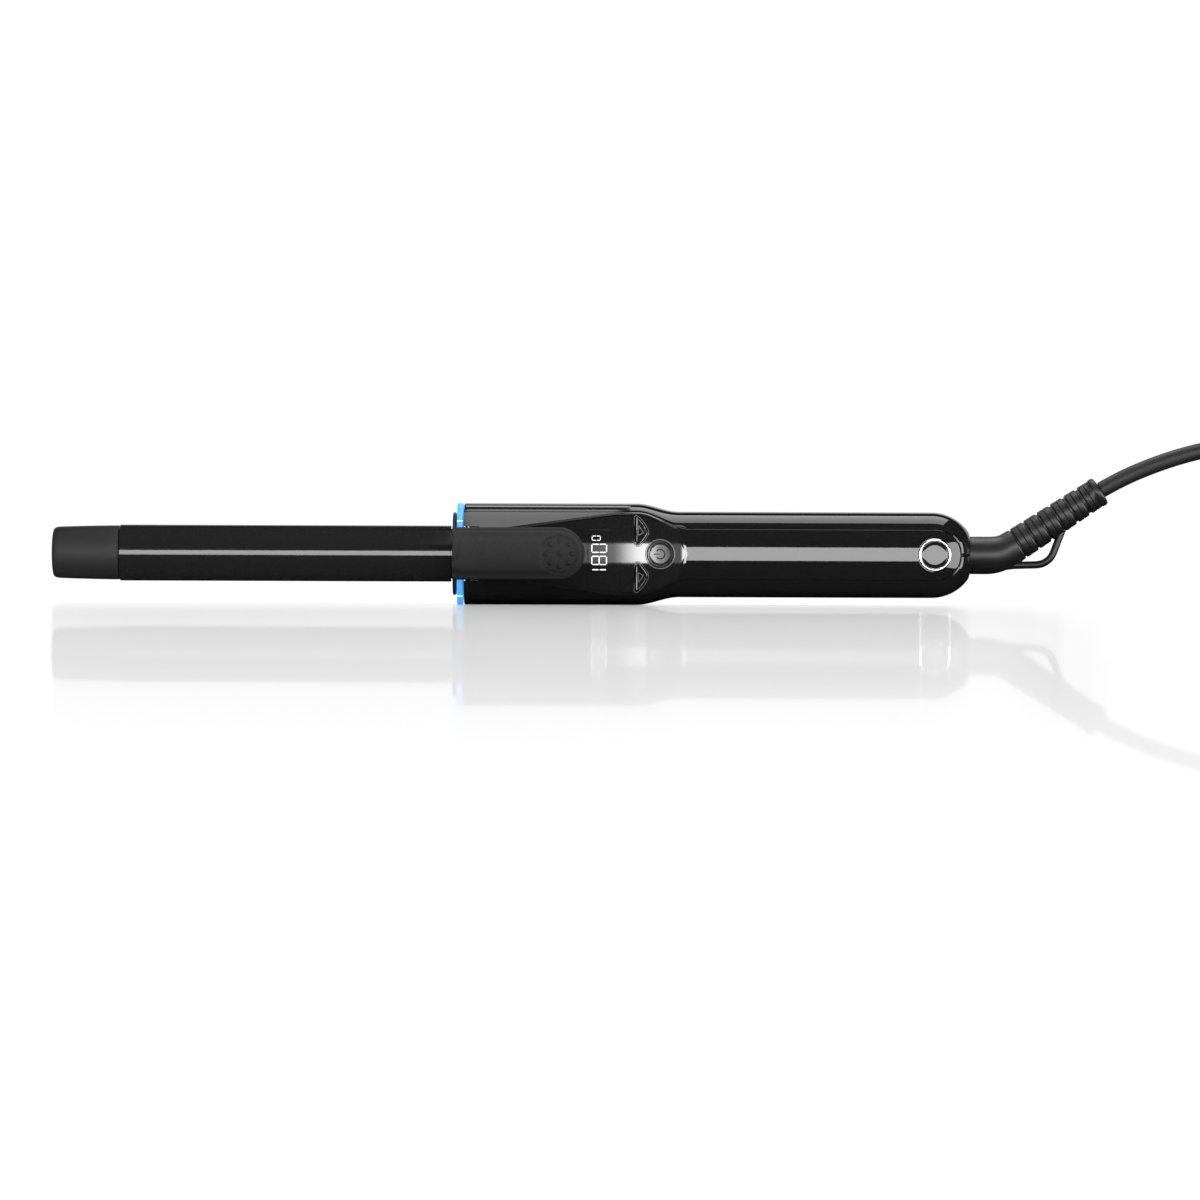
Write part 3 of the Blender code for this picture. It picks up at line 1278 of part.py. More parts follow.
def make_cord():
    node("cord_tube", tube_mesh("cord_tube", smooth_line(CORD_ROUTE, 0.0135), CORD_RADIUS), RUBBER, None)
    node("cord_tail", tube_mesh("cord_tail", smooth_line(TAIL_ROUTE, 0.0135), CORD_RADIUS), RUBBER, None)
    centre_x, centre_y = HANK_CENTRE
    outline = [(centre_x + x, centre_y + y) for x, y in hank_outline()]
    node("cord_hank", prism_mesh("cord_hank", outline, "XY", HANK_BASE, HANK_TOP), RUBBER, None)

    half = HANK_WAIST + CORD_RADIUS + 0.0014
    low = (centre_x - TIE_HALF_LENGTH, centre_y - half - TIE_THICKNESS, 0.0)
    high = (centre_x + TIE_HALF_LENGTH, centre_y + half + TIE_THICKNESS, HANK_TOP + GAP + TIE_THICKNESS)
    tie = node("cord_tie", box_mesh("cord_tie", low, high), MATT_BLACK, None)
    hollow_low = (low[0] - 0.01, centre_y - half, TIE_THICKNESS)
    hollow = box_mesh("cut_tie", hollow_low, (high[0] + 0.01, centre_y + half, HANK_TOP + GAP))
    cut(tie, helper("cut_tie", hollow, None))

    bottom = HANK_TOP + GAP
    middle = bottom + PLUG_HEIGHT / 2
    start = centre_x + PLUG_START
    end = start + PLUG_LENGTH
    half = PLUG_HALF_WIDTH
    outline = [
        (start - PLUG_BOOT_LENGTH, -0.0042),
        (start, -0.0068),
        (start + 0.0060, -0.0135),
        (start + 0.0200, -half),
        (end, -half),
        (end, half),
        (start + 0.0200, half),
        (start + 0.0060, 0.0135),
        (start, 0.0068),
        (start - PLUG_BOOT_LENGTH, 0.0042),
    ]
    outline = [(x, centre_y + y) for x, y in outline]
    side = [
        (start - PLUG_BOOT_LENGTH - 0.01, middle - 0.0042),
        (start - PLUG_BOOT_LENGTH, middle - 0.0042),
        (start + 0.0100, bottom),
        (end + 0.01, bottom),
        (end + 0.01, bottom + PLUG_HEIGHT),
        (start + 0.0100, bottom + PLUG_HEIGHT),
        (start - PLUG_BOOT_LENGTH, middle + 0.0042),
        (start - PLUG_BOOT_LENGTH - 0.01, middle + 0.0042),
    ]
    seen_from_above = prism_mesh("plug_body", outline, "XY", bottom - 0.01, bottom + 0.03)
    seen_from_the_side = prism_mesh("keep_plug", side, "XZ", centre_y - 0.03, centre_y + 0.03)
    plug = node("plug_body", seen_from_above, RUBBER, None)
    keep(plug, helper("keep_plug", seen_from_the_side, None))
    for label, way in (("left", 1), ("right", -1)):
        y = centre_y + way * PLUG_PIN_SPACING / 2
        root = end - 0.0060
        seat = rod_mesh(f"cut_pin_{label}", (root, y, middle), (end + 0.01, y, middle), PLUG_PIN_RADIUS + GAP)
        cut(plug, helper(f"cut_pin_{label}", seat, None))
        tip = (end + PLUG_PIN_LENGTH, y, middle)
        pin = rod_mesh(f"plug_pin_{label}", (root + GAP, y, middle), tip, PLUG_PIN_RADIUS)
        node(f"plug_pin_{label}", pin, CHROME, None)


# ---- the whole iron -------------------------------------------------------------------

clear_scene()
parts = new_collection("curling_iron")
cutters = new_collection("cutters", hidden=True)
iron_axis = new_pivot("iron_axis", (0.0, 0.0, AXIS_HEIGHT))
clamp_axis = new_pivot("clamp_axis", (PIN_X, PIN_Y, 0.0), iron_axis)
power_axis = new_pivot("power_axis", (POWER_X, BUTTON_FLANGE_REST, 0.0), iron_axis)
up_axis = new_pivot("up_axis", (WING_X + 0.0020, BUTTON_FLANGE_REST, WING_CENTRE_Z), iron_axis)
down_axis = new_pivot("down_axis", (WING_X + 0.0020, BUTTON_FLANGE_REST, -WING_CENTRE_Z), iron_axis)
swivel_axis = new_pivot("swivel_axis", (SOCKET_END, 0.0, 0.0), iron_axis)

make_handle_shells()
make_fascia()
make_badge()
make_handle_front()
make_barrel()
make_clip()
make_lever()
make_hinge()
make_controls()
make_electronics()
make_swivel()
make_cord()
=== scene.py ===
"""A glossy black curling iron on its side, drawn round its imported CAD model."""

import math

import bmesh
import bpy
import numpy as np
from mathutils import Matrix, Vector


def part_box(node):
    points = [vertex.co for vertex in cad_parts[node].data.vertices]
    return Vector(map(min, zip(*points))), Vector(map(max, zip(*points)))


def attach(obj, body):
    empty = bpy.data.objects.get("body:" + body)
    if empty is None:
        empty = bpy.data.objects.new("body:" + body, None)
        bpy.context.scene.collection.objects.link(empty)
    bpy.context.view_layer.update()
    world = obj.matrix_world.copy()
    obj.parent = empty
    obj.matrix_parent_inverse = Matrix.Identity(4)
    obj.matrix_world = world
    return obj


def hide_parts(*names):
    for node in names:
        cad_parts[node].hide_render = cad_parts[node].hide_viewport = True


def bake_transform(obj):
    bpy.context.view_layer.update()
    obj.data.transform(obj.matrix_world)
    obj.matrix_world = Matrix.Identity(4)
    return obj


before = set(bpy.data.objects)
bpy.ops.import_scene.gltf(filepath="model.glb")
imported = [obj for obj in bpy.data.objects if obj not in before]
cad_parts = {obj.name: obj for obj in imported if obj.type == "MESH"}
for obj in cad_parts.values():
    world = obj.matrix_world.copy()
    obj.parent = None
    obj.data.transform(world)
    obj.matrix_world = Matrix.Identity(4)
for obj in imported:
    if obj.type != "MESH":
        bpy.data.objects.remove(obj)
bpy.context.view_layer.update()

MM = 0.001
AXIS = 19.3  # the barrel axis's height, in mm; pieces are drawn about that axis in mm

# ---- the handle's form, in mm ----------------------------------------------------------

FRONT = (16.5, 19.3, 2.6)  # half depth, half height, squareness
REAR = (15.0, 16.3, 2.34)
SHOULDER = (67.0, 83.0)
END_CENTRE = 178.8
END_REACH = 16.9
END_HALF = 8.25
HANDLE_END = END_CENTRE + END_REACH * math.sqrt(1 - (END_HALF / REAR[1]) ** 2)
SEAM = (15.85, 9.5)
SEAM_NARROWS = (67.0, 87.0)
SEAM_END = 180.0
PIN = (3.0, -16.4)  # the hinge pin's X and Y
SCREW_XS = (90.0, 152.5)
BADGE_X = 179.5
KEY_GAP = 0.28
BARREL_RADIUS = 9.5
CLIP_OUTER = 10.7
CLIP_INNER = 9.85


def ease(t):
    t = min(max(t, 0.0), 1.0)
    return t * t * (3 - 2 * t)


def blend_of(a, b, t):
    """The value t of the way from a to b."""
    return a + (b - a) * t


def handle_sizes(x):
    """The section's half depth, half height and squareness at x."""
    share = ease((x - SHOULDER[0]) / (SHOULDER[1] - SHOULDER[0]))
    half_y, half_z, power = (blend_of(f, r, share) for f, r in zip(FRONT, REAR))
    if x > END_CENTRE:
        shrink = math.sqrt(max(0.0, 1 - ((x - END_CENTRE) / END_REACH) ** 2))
        half_y, half_z = half_y * shrink, half_z * shrink
    return half_y, half_z, power


def oval_point(half_y, half_z, power, angle):
    """A point (y, z) of a squarish oval. The angle runs from -Y towards +Z."""
    c, s = math.cos(angle), math.sin(angle)
    return (-half_y * math.copysign(abs(c) ** (2 / power), c),
            half_z * math.copysign(abs(s) ** (2 / power), s))


def on_form(x, angle):
    """A point of the handle's section."""
    return (x, *oval_point(*handle_sizes(x), angle))


def angle_at(x, z):
    """The section's angle where it is z above the axis."""
    _, half_z, power = handle_sizes(x)
    return math.asin(min(1.0, (max(z, 0.0) / half_z) ** (power / 2)))


def front_y(x, z, offset=0.0):
    half_y, half_z, power = handle_sizes(x)
    inside = max(0.0, 1 - abs(z / (half_z + offset)) ** power)
    return -(half_y + offset) * inside ** (1 / power)


def seam_half(x, grow=0.0):
    """Half the height of the front panel's seam at x."""
    share = ease((x - SEAM_NARROWS[0]) / (SEAM_NARROWS[1] - SEAM_NARROWS[0]))
    half = blend_of(SEAM[0], SEAM[1], share) + grow
    if x > SEAM_END:
        return math.sqrt(max(0.0, (SEAM[1] + grow) ** 2 - (x - SEAM_END) ** 2))
    return half


# its start, its round end's centre, and that end's half height and length
FASCIA = (18.0, 67.9, 16.0, 18.4)


def fascia_half(x):
    """Half the fascia's height: a wedge that ends in half an ellipse, inside the seam."""
    start, centre, half, length = FASCIA
    wedge = 10 + 0.1405 * (x - start)
    end = half * math.sqrt(max(0.0, 1 - (max(0.0, x - centre) / length) ** 2))
    return min(wedge, end, seam_half(x) - 0.15)


def outline_of(half, xs):
    upper = [(x, half(x)) for x in xs]
    return np.array(upper + [(x, -z) for x, z in reversed(upper)])


def distance_to(outline, x, z):
    """How far a point is from an open outline, in the XZ plane."""
    a, b = outline[:-1], outline[1:]
    span = b - a
    point = np.array((x, z))
    length = np.maximum((span**2).sum(1), 1e-12)
    t = np.clip(((point - a) * span).sum(1) / length, 0, 1)
    return float(np.sqrt((((a + span * t[:, None]) - point) ** 2).sum(1)).min())


def rounding(distance, width, depth):
    """How far a rounded edge has dropped at a distance from it."""
    if distance >= width:
        return 0.0
    return depth * (1 - math.sqrt(max(0.0, 1 - (1 - distance / width) ** 2)))


# ---- materials -------------------------------------------------------------------------


def painted_highlight_along(nodes, links, place, stops):
    """A specular level that changes along X, by (place in mm, level) stops: a painted highlight, strong
    where the gloss should show and faded elsewhere.
    """
    axes = nodes.new("ShaderNodeSeparateXYZ")
    links.new(place, axes.inputs["Vector"])
    first, last = stops[0][0], stops[-1][0]
    share = nodes.new("ShaderNodeMapRange")
    share.inputs["From Min"].default_value = first * MM
    share.inputs["From Max"].default_value = last * MM
    links.new(axes.outputs["X"], share.inputs["Value"])
    ramp = nodes.new("ShaderNodeValToRGB")
    ramp.color_ramp.interpolation = "EASE"
    marks = ramp.color_ramp.elements
    while len(marks) < len(stops):
        marks.new(0.5)
    for mark, (x, level) in zip(marks, stops):
        mark.position = (x - first) / (last - first)
        mark.color = (level, level, level, 1)
    links.new(share.outputs["Result"], ramp.inputs["Fac"])
    return ramp.outputs["Color"]


def painted_shade_below(nodes, links, place, colour, z_dark, z_light, least):
    """The colour, darkened towards the lower edge: painted shade."""
    axes = nodes.new("ShaderNodeSeparateXYZ")
    links.new(place, axes.inputs["Vector"])
    share = nodes.new("ShaderNodeMapRange")
    share.inputs["From Min"].default_value = (z_dark + AXIS) * MM
    share.inputs["From Max"].default_value = (z_light + AXIS) * MM
    share.inputs["To Min"].default_value = least
    links.new(axes.outputs["Z"], share.inputs["Value"])
    shaded = nodes.new("ShaderNodeVectorMath")
    shaded.operation = "SCALE"
    links.new(colour, shaded.inputs[0])
    links.new(share.outputs["Result"], shaded.inputs["Scale"])
    return shaded.outputs["Vector"]


NOISE_DETAIL = 4.0
BROAD_NOISE = 0.13  # the roughness noise is this much coarser


def procedural(
    name,
    colour,
    roughness,
    metallic=0.0,
    scale=400.0,
    bump=0.05,
    rough_spread=0.05,
    shade_spread=0.15,
    stretch=(1.0, 1.0, 1.0),
    emission=None,
    strength=0.0,
    ior=1.5,
    bump_distance=0.0002,
    painted_highlight=None,
    specular=0.5,
    painted_shade=None,
):
    """A Principled material whose tone, roughness and fine relief come from noise, with an optional
    painted highlight along X and painted shade towards the lower edge.
    """
    made = bpy.data.materials.new(name)
    made.use_nodes = True
    nodes, links = made.node_tree.nodes, made.node_tree.links
    shader = nodes["Principled BSDF"]
    shader.inputs["Metallic"].default_value = metallic
    shader.inputs["IOR"].default_value = ior
    place = nodes.new("ShaderNodeTexCoord")
    fit = nodes.new("ShaderNodeMapping")
    fit.inputs["Scale"].default_value = stretch
    noise = nodes.new("ShaderNodeTexNoise")
    noise.inputs["Scale"].default_value = scale
    noise.inputs["Detail"].default_value = NOISE_DETAIL
    links.new(place.outputs["Object"], fit.inputs["Vector"])
    links.new(fit.outputs["Vector"], noise.inputs["Vector"])
    ramp = nodes.new("ShaderNodeValToRGB")
    ramp.color_ramp.elements[0].color = (*[c * (1 - shade_spread) for c in colour], 1)
    ramp.color_ramp.elements[1].color = (*[min(1, c * (1 + shade_spread)) for c in colour], 1)
    ramp.color_ramp.elements[0].position = 0.3
    ramp.color_ramp.elements[1].position = 0.7
    links.new(noise.outputs["Fac"], ramp.inputs["Fac"])
    links.new(ramp.outputs["Color"], shader.inputs["Base Color"])
    soft = nodes.new("ShaderNodeTexNoise")
    soft.inputs["Scale"].default_value = scale * BROAD_NOISE
    links.new(fit.outputs["Vector"], soft.inputs["Vector"])
    rough = nodes.new("ShaderNodeMapRange")
    rough.inputs["To Min"].default_value = max(0.0, roughness - rough_spread)
    rough.inputs["To Max"].default_value = min(1.0, roughness + rough_spread)
    links.new(soft.outputs["Fac"], rough.inputs["Value"])
    links.new(rough.outputs["Result"], shader.inputs["Roughness"])
    if bump:
        relief = nodes.new("ShaderNodeBump")
        relief.inputs["Strength"].default_value = bump
        relief.inputs["Distance"].default_value = bump_distance
        links.new(noise.outputs["Fac"], relief.inputs["Height"])
        links.new(relief.outputs["Normal"], shader.inputs["Normal"])
    shader.inputs["Specular IOR Level"].default_value = specular
    if painted_highlight:
        level = painted_highlight_along(nodes, links, place.outputs["Object"], painted_highlight)
        links.new(level, shader.inputs["Specular IOR Level"])
    if painted_shade:
        shaded = painted_shade_below(nodes, links, place.outputs["Object"], ramp.outputs["Color"], *painted_shade)
        links.new(shaded, shader.inputs["Base Color"])
    if emission:
        shader.inputs["Emission Color"].default_value = (*emission, 1)
        shader.inputs["Emission Strength"].default_value = strength
    return made


piano_black = procedural("piano_black", (0.0120, 0.0120, 0.0123), 0.045, scale=900, bump=0.01,
                         rough_spread=0.015)
# specular levels along X in mm: painted highlight bands on the fascia and the keys
FASCIA_PAINTED_HIGHLIGHT = ((50, 0.05), (57, 0.07), (69.5, 0.5), (74, 0.5), (78, 0.04), (83.4, 0.04), (84.6, 0.5),
                (90, 0.5))
KEY_PAINTED_HIGHLIGHT = ((60, 0.50), (72.5, 0.45), (76.5, 0.18), (80, 0.05))
fascia_black = procedural("fascia_black", (0.0145, 0.0145, 0.0148), 0.08, scale=900, bump=0.015,
                          rough_spread=0.02, ior=1.95, painted_highlight=FASCIA_PAINTED_HIGHLIGHT)
sign_black = procedural("sign_black", (0.003, 0.003, 0.003), 0.60, scale=900, bump=0.0, specular=0.1)
key_black = procedural("key_black", (0.030, 0.030, 0.0305), 0.20, scale=900, bump=0.015,
                       rough_spread=0.02, ior=1.80, painted_highlight=KEY_PAINTED_HIGHLIGHT)
barrel_coat = procedural("barrel_coat", (0.014, 0.014, 0.0145), 0.16, scale=1800, bump=0.04,
                         rough_spread=0.03)
clip_coat = procedural("clip_coat", (0.0175, 0.0175, 0.018), 0.09, scale=1800, bump=0.03,
                       rough_spread=0.03)
tip_plastic = procedural("tip_plastic", (0.0200, 0.0200, 0.0205), 0.62, scale=2600, bump=0.22,
                         rough_spread=0.06, bump_distance=0.0001)
# the lever's colour is darkened towards its lower edge: painted shade
soft_touch = procedural("soft_touch", (0.0380, 0.0380, 0.0388), 0.50, scale=2400, bump=0.22,
                        rough_spread=0.06, bump_distance=0.0001, specular=0.12, painted_shade=(-9.5, 9.5, 0.2))
satin_black = procedural("satin_black", (0.014, 0.014, 0.0145), 0.36, scale=1500, bump=0.08)
boot_rubber = procedural("boot_rubber", (0.0100, 0.0100, 0.0102), 0.42, scale=2200, bump=0.16,
                         rough_spread=0.08, bump_distance=0.0001)
cord_rubber = procedural("cord_rubber", (0.0110, 0.0110, 0.0112), 0.55, scale=2000, bump=0.10,
                         rough_spread=0.08, stretch=(0.2, 1, 1))
ring_light = procedural("ring_light", (0.05, 0.30, 0.70), 0.30, scale=300, bump=0.02,
                        emission=(0.075, 0.386, 0.831), strength=0.72)
ring_spark = procedural("ring_spark", (0.5, 0.75, 0.95), 0.30, scale=300, bump=0.02,
                        emission=(0.62, 0.86, 1.0), strength=1.0)
digit_light = procedural("digit_light", (0.8, 0.8, 0.8), 0.40, scale=300, bump=0.0,
                         emission=(1.0, 1.0, 1.0), strength=0.95)
chrome = procedural("chrome", (0.80, 0.80, 0.82), 0.10, metallic=1.0, scale=700, bump=0.01,
                    rough_spread=0.04, shade_spread=0.03)
steel = procedural("steel", (0.50, 0.51, 0.52), 0.28, metallic=1.0, scale=900, bump=0.05,
                   stretch=(0.15, 1, 1))
aluminium = procedural("aluminium", (0.70, 0.70, 0.71), 0.36, metallic=1.0, scale=700, bump=0.06,
                       stretch=(0.1, 1, 1))
brass = procedural("brass", (0.72, 0.48, 0.18), 0.28, metallic=1.0, scale=800, bump=0.04)
ceramic = procedural("ceramic", (0.72, 0.70, 0.66), 0.55, scale=1200, bump=0.10, shade_spread=0.06)
circuit_green = procedural("circuit_green", (0.015, 0.14, 0.06), 0.42, scale=500, bump=0.06)
film_blue = procedural("film_blue", (0.04, 0.12, 0.36), 0.40, scale=600, bump=0.04)
wire_brown = procedural("wire_brown", (0.18, 0.07, 0.03), 0.45, scale=900, bump=0.05)
wire_blue = procedural("wire_blue", (0.03, 0.10, 0.35), 0.45, scale=900, bump=0.05)
# grey for the printed arrows, and for thin rims whose lighter colour is a painted highlight
print_and_highlight_grey = procedural("print_and_highlight_grey", (0.20, 0.20, 0.21), 0.30, scale=900, bump=0.02)


# ---- mesh helpers ----------------------------------------------------------------------


def at(x, y, z):
    """World metres from mm about the barrel's axis."""
    return (x * MM, y * MM, (z + AXIS) * MM)


def to_world(points):
    return [at(*point) for point in points]


def join_rings(shape, rings):
    """Faces between each ring of vertices and the next."""
    count = len(rings[0])
    for low, high in zip(rings, rings[1:]):
        for k in range(count):
            after = (k + 1) % count
            shape.faces.new((low[k], low[after], high[after], high[k]))


SHARP_ANGLE = 38.0  # edges that turn by more degrees than this stay sharp
WELD = 2e-7


def finish_mesh(mesh, shape, angle=SHARP_ANGLE):
    """Welds a mesh, drops faces that double or vanish, and shades it."""
    bmesh.ops.remove_doubles(shape, verts=shape.verts, dist=WELD)
    seen = {}
    for face in shape.faces:
        seen.setdefault(frozenset(v.index for v in face.verts), []).append(face)
    twins = [face for group in seen.values() if len(group) > 1 for face in group]
    thin = [face for face in shape.faces if face.calc_area() < 1e-14 and face not in twins]
    bmesh.ops.delete(shape, geom=twins + thin, context="FACES_ONLY")
    bmesh.ops.recalc_face_normals(shape, faces=shape.faces)
    shape.to_mesh(mesh)
    shape.free()
    mesh.shade_smooth()
    mesh.set_sharp_from_angle(angle=math.radians(angle))
    return mesh


def piece(name, mesh, material, body, replaces=()):
    thing = bpy.data.objects.new(name, mesh)
    bpy.context.scene.collection.objects.link(thing)
    mesh.materials.clear()
    mesh.materials.append(material)
    if body:
        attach(thing, body)
    if replaces:
        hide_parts(*replaces)
    return thing


def thick_sheet(name, outer, inner, angle=SHARP_ANGLE):
    """A closed solid from two matching grids of points: its outer and its inner side."""
    rows, columns = len(outer), len(outer[0])
    shape = bmesh.new()
    top = [[shape.verts.new(p) for p in to_world(row)] for row in outer]
    low = [[shape.verts.new(p) for p in to_world(row)] for row in inner]
    for r in range(rows - 1):
        for c in range(columns - 1):
            shape.faces.new((top[r][c], top[r][c + 1], top[r + 1][c + 1], top[r + 1][c]))
            shape.faces.new((low[r][c], low[r + 1][c], low[r + 1][c + 1], low[r][c + 1]))
    for r in range(rows - 1):
        for c in (0, columns - 1):
            shape.faces.new((top[r][c], top[r + 1][c], low[r + 1][c], low[r][c]))
    for c in range(columns - 1):
        for r in (0, rows - 1):
            shape.faces.new((top[r][c], top[r][c + 1], low[r][c + 1], low[r][c]))
    shape.verts.index_update()
    return finish_mesh(bpy.data.meshes.new(name), shape, angle)


def ring_loft(name, rings, angle=SHARP_ANGLE):
    """Joins closed rings of equal count, with both ends capped."""
    shape = bmesh.new()
    rows = [[shape.verts.new(p) for p in to_world(ring)] for ring in rings]
    join_rings(shape, rows)
    shape.faces.new(rows[0])
    shape.faces.new(rows[-1])
    return finish_mesh(bpy.data.meshes.new(name), shape, angle)


def turned(name, profile, sides=96, centre=(0.0, 0.0), closed=False, angle=SHARP_ANGLE):
    """A profile of (x, radius) turned about an X-parallel line through centre (y, z)."""
    rings = []
    for k in range(sides):
        turn = 2 * math.pi * k / sides
        c, s = math.cos(turn), math.sin(turn)
        rings.append([(x, centre[0] + r * c, centre[1] + r * s) for x, r in profile])
    shape = bmesh.new()
    rows = [[shape.verts.new(p) for p in to_world(ring)] for ring in rings]
    count = len(profile)
    spans = count if closed else count - 1
    for k in range(sides):
        low, high = rows[k], rows[(k + 1) % sides]
        for j in range(spans):
            after = (j + 1) % count
            corners = [low[j], low[after], high[after], high[j]]
            if profile[j][1] < 1e-9:
                corners = [low[j], low[after], high[after]]
            if profile[after][1] < 1e-9:
                corners = [low[j], low[after], high[j]]
            shape.faces.new(corners)
    return finish_mesh(bpy.data.meshes.new(name), shape, angle)


def smooth_line(route, spacing):
    """Points at one spacing on a smooth curve through the route's own points."""
    line = [Vector(p) for p in route]
    line = [line[0] * 2 - line[1], *line, line[-1] * 2 - line[-2]]
    fine = []
    for a, b, c, d in zip(line, line[1:], line[2:], line[3:]):
        for k in range(24):
            t = k / 24
            square = (2 * a - 5 * b + 4 * c - d) * t**2
            cube = (3 * b - a - 3 * c + d) * t**3
            fine.append(0.5 * (2 * b + (c - a) * t + square + cube))
    fine.append(line[-2])
    walked = [0.0]
    for a, b in zip(fine, fine[1:]):
        walked.append(walked[-1] + (b - a).length)
    count = max(3, round(walked[-1] / spacing))
    found, k = [], 0
    for n in range(count + 1):
        goal = walked[-1] * n / count
        while k < len(walked) - 2 and walked[k + 1] < goal:
            k += 1
        share = (goal - walked[k]) / max(walked[k + 1] - walked[k], 1e-9)
        found.append(fine[k].lerp(fine[k + 1], min(max(share, 0), 1)))
    return found


def swept(name, points, radii, sides, flat=1.0):
    """A tube along points in mm about the axis, with one radius for each point."""
    points = [Vector(p) for p in points]
    each = radii if isinstance(radii, list) else [radii] * len(points)
    side = Vector((0, 1, 0))
    rings = []
    for k, (point, radius) in enumerate(zip(points, each)):
        ahead = points[min(k + 1, len(points) - 1)] - points[max(k - 1, 0)]
        ahead.normalize()
        side = (side - ahead * side.dot(ahead)).normalized()
        up = ahead.cross(side)
        ring = []
        for j in range(sides):
            turn = 2 * math.pi * j / sides
            aside = side * (radius * math.cos(turn) * flat)
            ring.append(tuple(point + aside + up * (radius * math.sin(turn))))
        rings.append(ring)
    return ring_loft(name, rings, 50.0)


def rounded_box(name, low, high, radius):
    """A box between two corners in mm, with rounded edges."""
    shape = bmesh.new()
    bmesh.ops.create_cube(shape, size=1.0)
    size = [b - a for a, b in zip(low, high)]
    middle = [(a + b) / 2 for a, b in zip(low, high)]
    for vert in shape.verts:
        x, y, z = (m + v * s for m, v, s in zip(middle, vert.co, size))
        vert.co = at(x, y, z)
    bmesh.ops.bevel(shape, geom=shape.edges[:], offset=radius * MM, segments=3, affect="EDGES",
                    profile=0.5)
    return finish_mesh(bpy.data.meshes.new(name), shape)


def merged(name, meshes, angle=SHARP_ANGLE):
    shape = bmesh.new()
    for mesh in meshes:
        shape.from_mesh(mesh)
    mesh = bpy.data.meshes.new(name)
    shape.to_mesh(mesh)
    shape.free()
    mesh.shade_smooth()
    mesh.set_sharp_from_angle(angle=math.radians(angle))
    return mesh


def plate_prism(name, outline, low, high, axis, bevel=0.0):
    """An outline in mm extruded along axis "z" (outline in XY) or "y" (outline in XZ)."""
    shape = bmesh.new()
    rows = []
    for level in (low, high):
        ring = []
        for u, v in outline:
            x, y, z = (u, v, level) if axis == "z" else (u, level, v)
            ring.append(shape.verts.new(at(x, y, z)))
        rows.append(ring)
    join_rings(shape, rows)
    shape.faces.new(rows[0])
    shape.faces.new(rows[1])
    bmesh.ops.recalc_face_normals(shape, faces=shape.faces)
    if bevel:
        edges = [e for e in shape.edges if e.calc_face_angle(0) > math.radians(25)]
        bmesh.ops.bevel(shape, geom=edges, offset=bevel * MM, segments=2, affect="EDGES", profile=0.5)
    return finish_mesh(bpy.data.meshes.new(name), shape)


def carve(mesh, cutters, name):
    """Subtracts cutter meshes from a mesh."""
    thing = bpy.data.objects.new("carve_" + name, mesh)
    bpy.context.scene.collection.objects.link(thing)
    tools = []
    for k, cutter in enumerate(cutters):
        tool = bpy.data.objects.new(f"carve_tool_{k}", cutter)
        bpy.context.scene.collection.objects.link(tool)
        change = thing.modifiers.new(f"cut{k}", "BOOLEAN")
        change.operation = "DIFFERENCE"
        change.solver = "EXACT"
        change.object = tool
        tools.append(tool)
    bpy.context.view_layer.update()
    graph = bpy.context.evaluated_depsgraph_get()
    result = bpy.data.meshes.new_from_object(thing.evaluated_get(graph))
    result.name = name
    for tool in [*tools, thing]:
        bpy.data.objects.remove(tool, do_unlink=True)
    result.shade_smooth()
    result.set_sharp_from_angle(angle=math.radians(SHARP_ANGLE))
    return result


def circle(u, v, radius, sides):
    turns = [2 * math.pi * k / sides for k in range(sides)]
    return [(u + radius * math.cos(turn), v + radius * math.sin(turn)) for turn in turns]


def spaced(start, stop, step):
    """Places from start to stop, about one step apart."""
    count = max(1, round(abs(stop - start) / step))
    return [start + (stop - start) * k / count for k in range(count + 1)]


# ---- camera ----------------------------------------------------------------------------


def make_camera():
    distance = 2.5
    tilt = math.radians(0.2)
    target = Vector((53.05 * MM, 0.0, 1.85 * MM))
    data = bpy.data.cameras.new("camera")
    data.sensor_width = 36.0
    data.lens = 36.0 * distance / 0.456
    data.clip_start = 0.05
    data.clip_end = 60.0
    camera = bpy.data.objects.new("camera", data)
    bpy.context.scene.collection.objects.link(camera)
    camera.location = target + Vector((0, -math.cos(tilt), math.sin(tilt))) * distance
    look = (target - camera.location).to_track_quat("-Z", "Y").to_matrix().to_4x4()
    roll = Matrix.Rotation(math.radians(0.2), 4, "Z")
    camera.matrix_world = Matrix.Translation(camera.location) @ look @ roll
    bpy.context.scene.camera = camera


make_camera()

# ---- the cord --------------------------------------------------------------------------

# its route in world metres, as the CAD model has it
CORD_ROUTE = [
    (0.2433, 0.0000, 0.0443),
    (0.2495, 0.0001, 0.0477),
    (0.2564, 0.0003, 0.0510),
    (0.2650, 0.0006, 0.0544),
    (0.2735, 0.0010, 0.0572),
    (0.2830, 0.0016, 0.0596),
    (0.2930, 0.0023, 0.0608),
    (0.3030, 0.0032, 0.0606),
    (0.3130, 0.0042, 0.0583),
    (0.3230, 0.0054, 0.0536),
    (0.3330, 0.0067, 0.0462),
    (0.3420, 0.0079, 0.0374),
    (0.3510, 0.0091, 0.0280),
    (0.3605, 0.0103, 0.0190),
    (0.3710, 0.0114, 0.0113),
    (0.3830, 0.0122, 0.0062),
    (0.3935, 0.0127, 0.0044),
]
TAIL_ROUTE = [
    (0.4100, 0.01275, 0.0297),
    (0.4200, 0.0115, 0.0302),
    (0.4320, 0.0078, 0.0308),
    (0.4450, 0.0028, 0.0316),
    (0.4580, -0.0018, 0.0324),
    (0.4700, -0.0047, 0.0330),
    (0.4775, -0.0057, 0.0333),
]
CORD_RADIUS = 0.0031
HANK_CENTRE = (0.4743, -0.0059)
HANK_HALF_RUN = 0.0645
HANK_FOLD = 0.01865
HANK_WAIST = 0.00315
HANK_LAYERS = 4
HANK_PITCH = 0.0063
HANK_FIRST = 0.00405


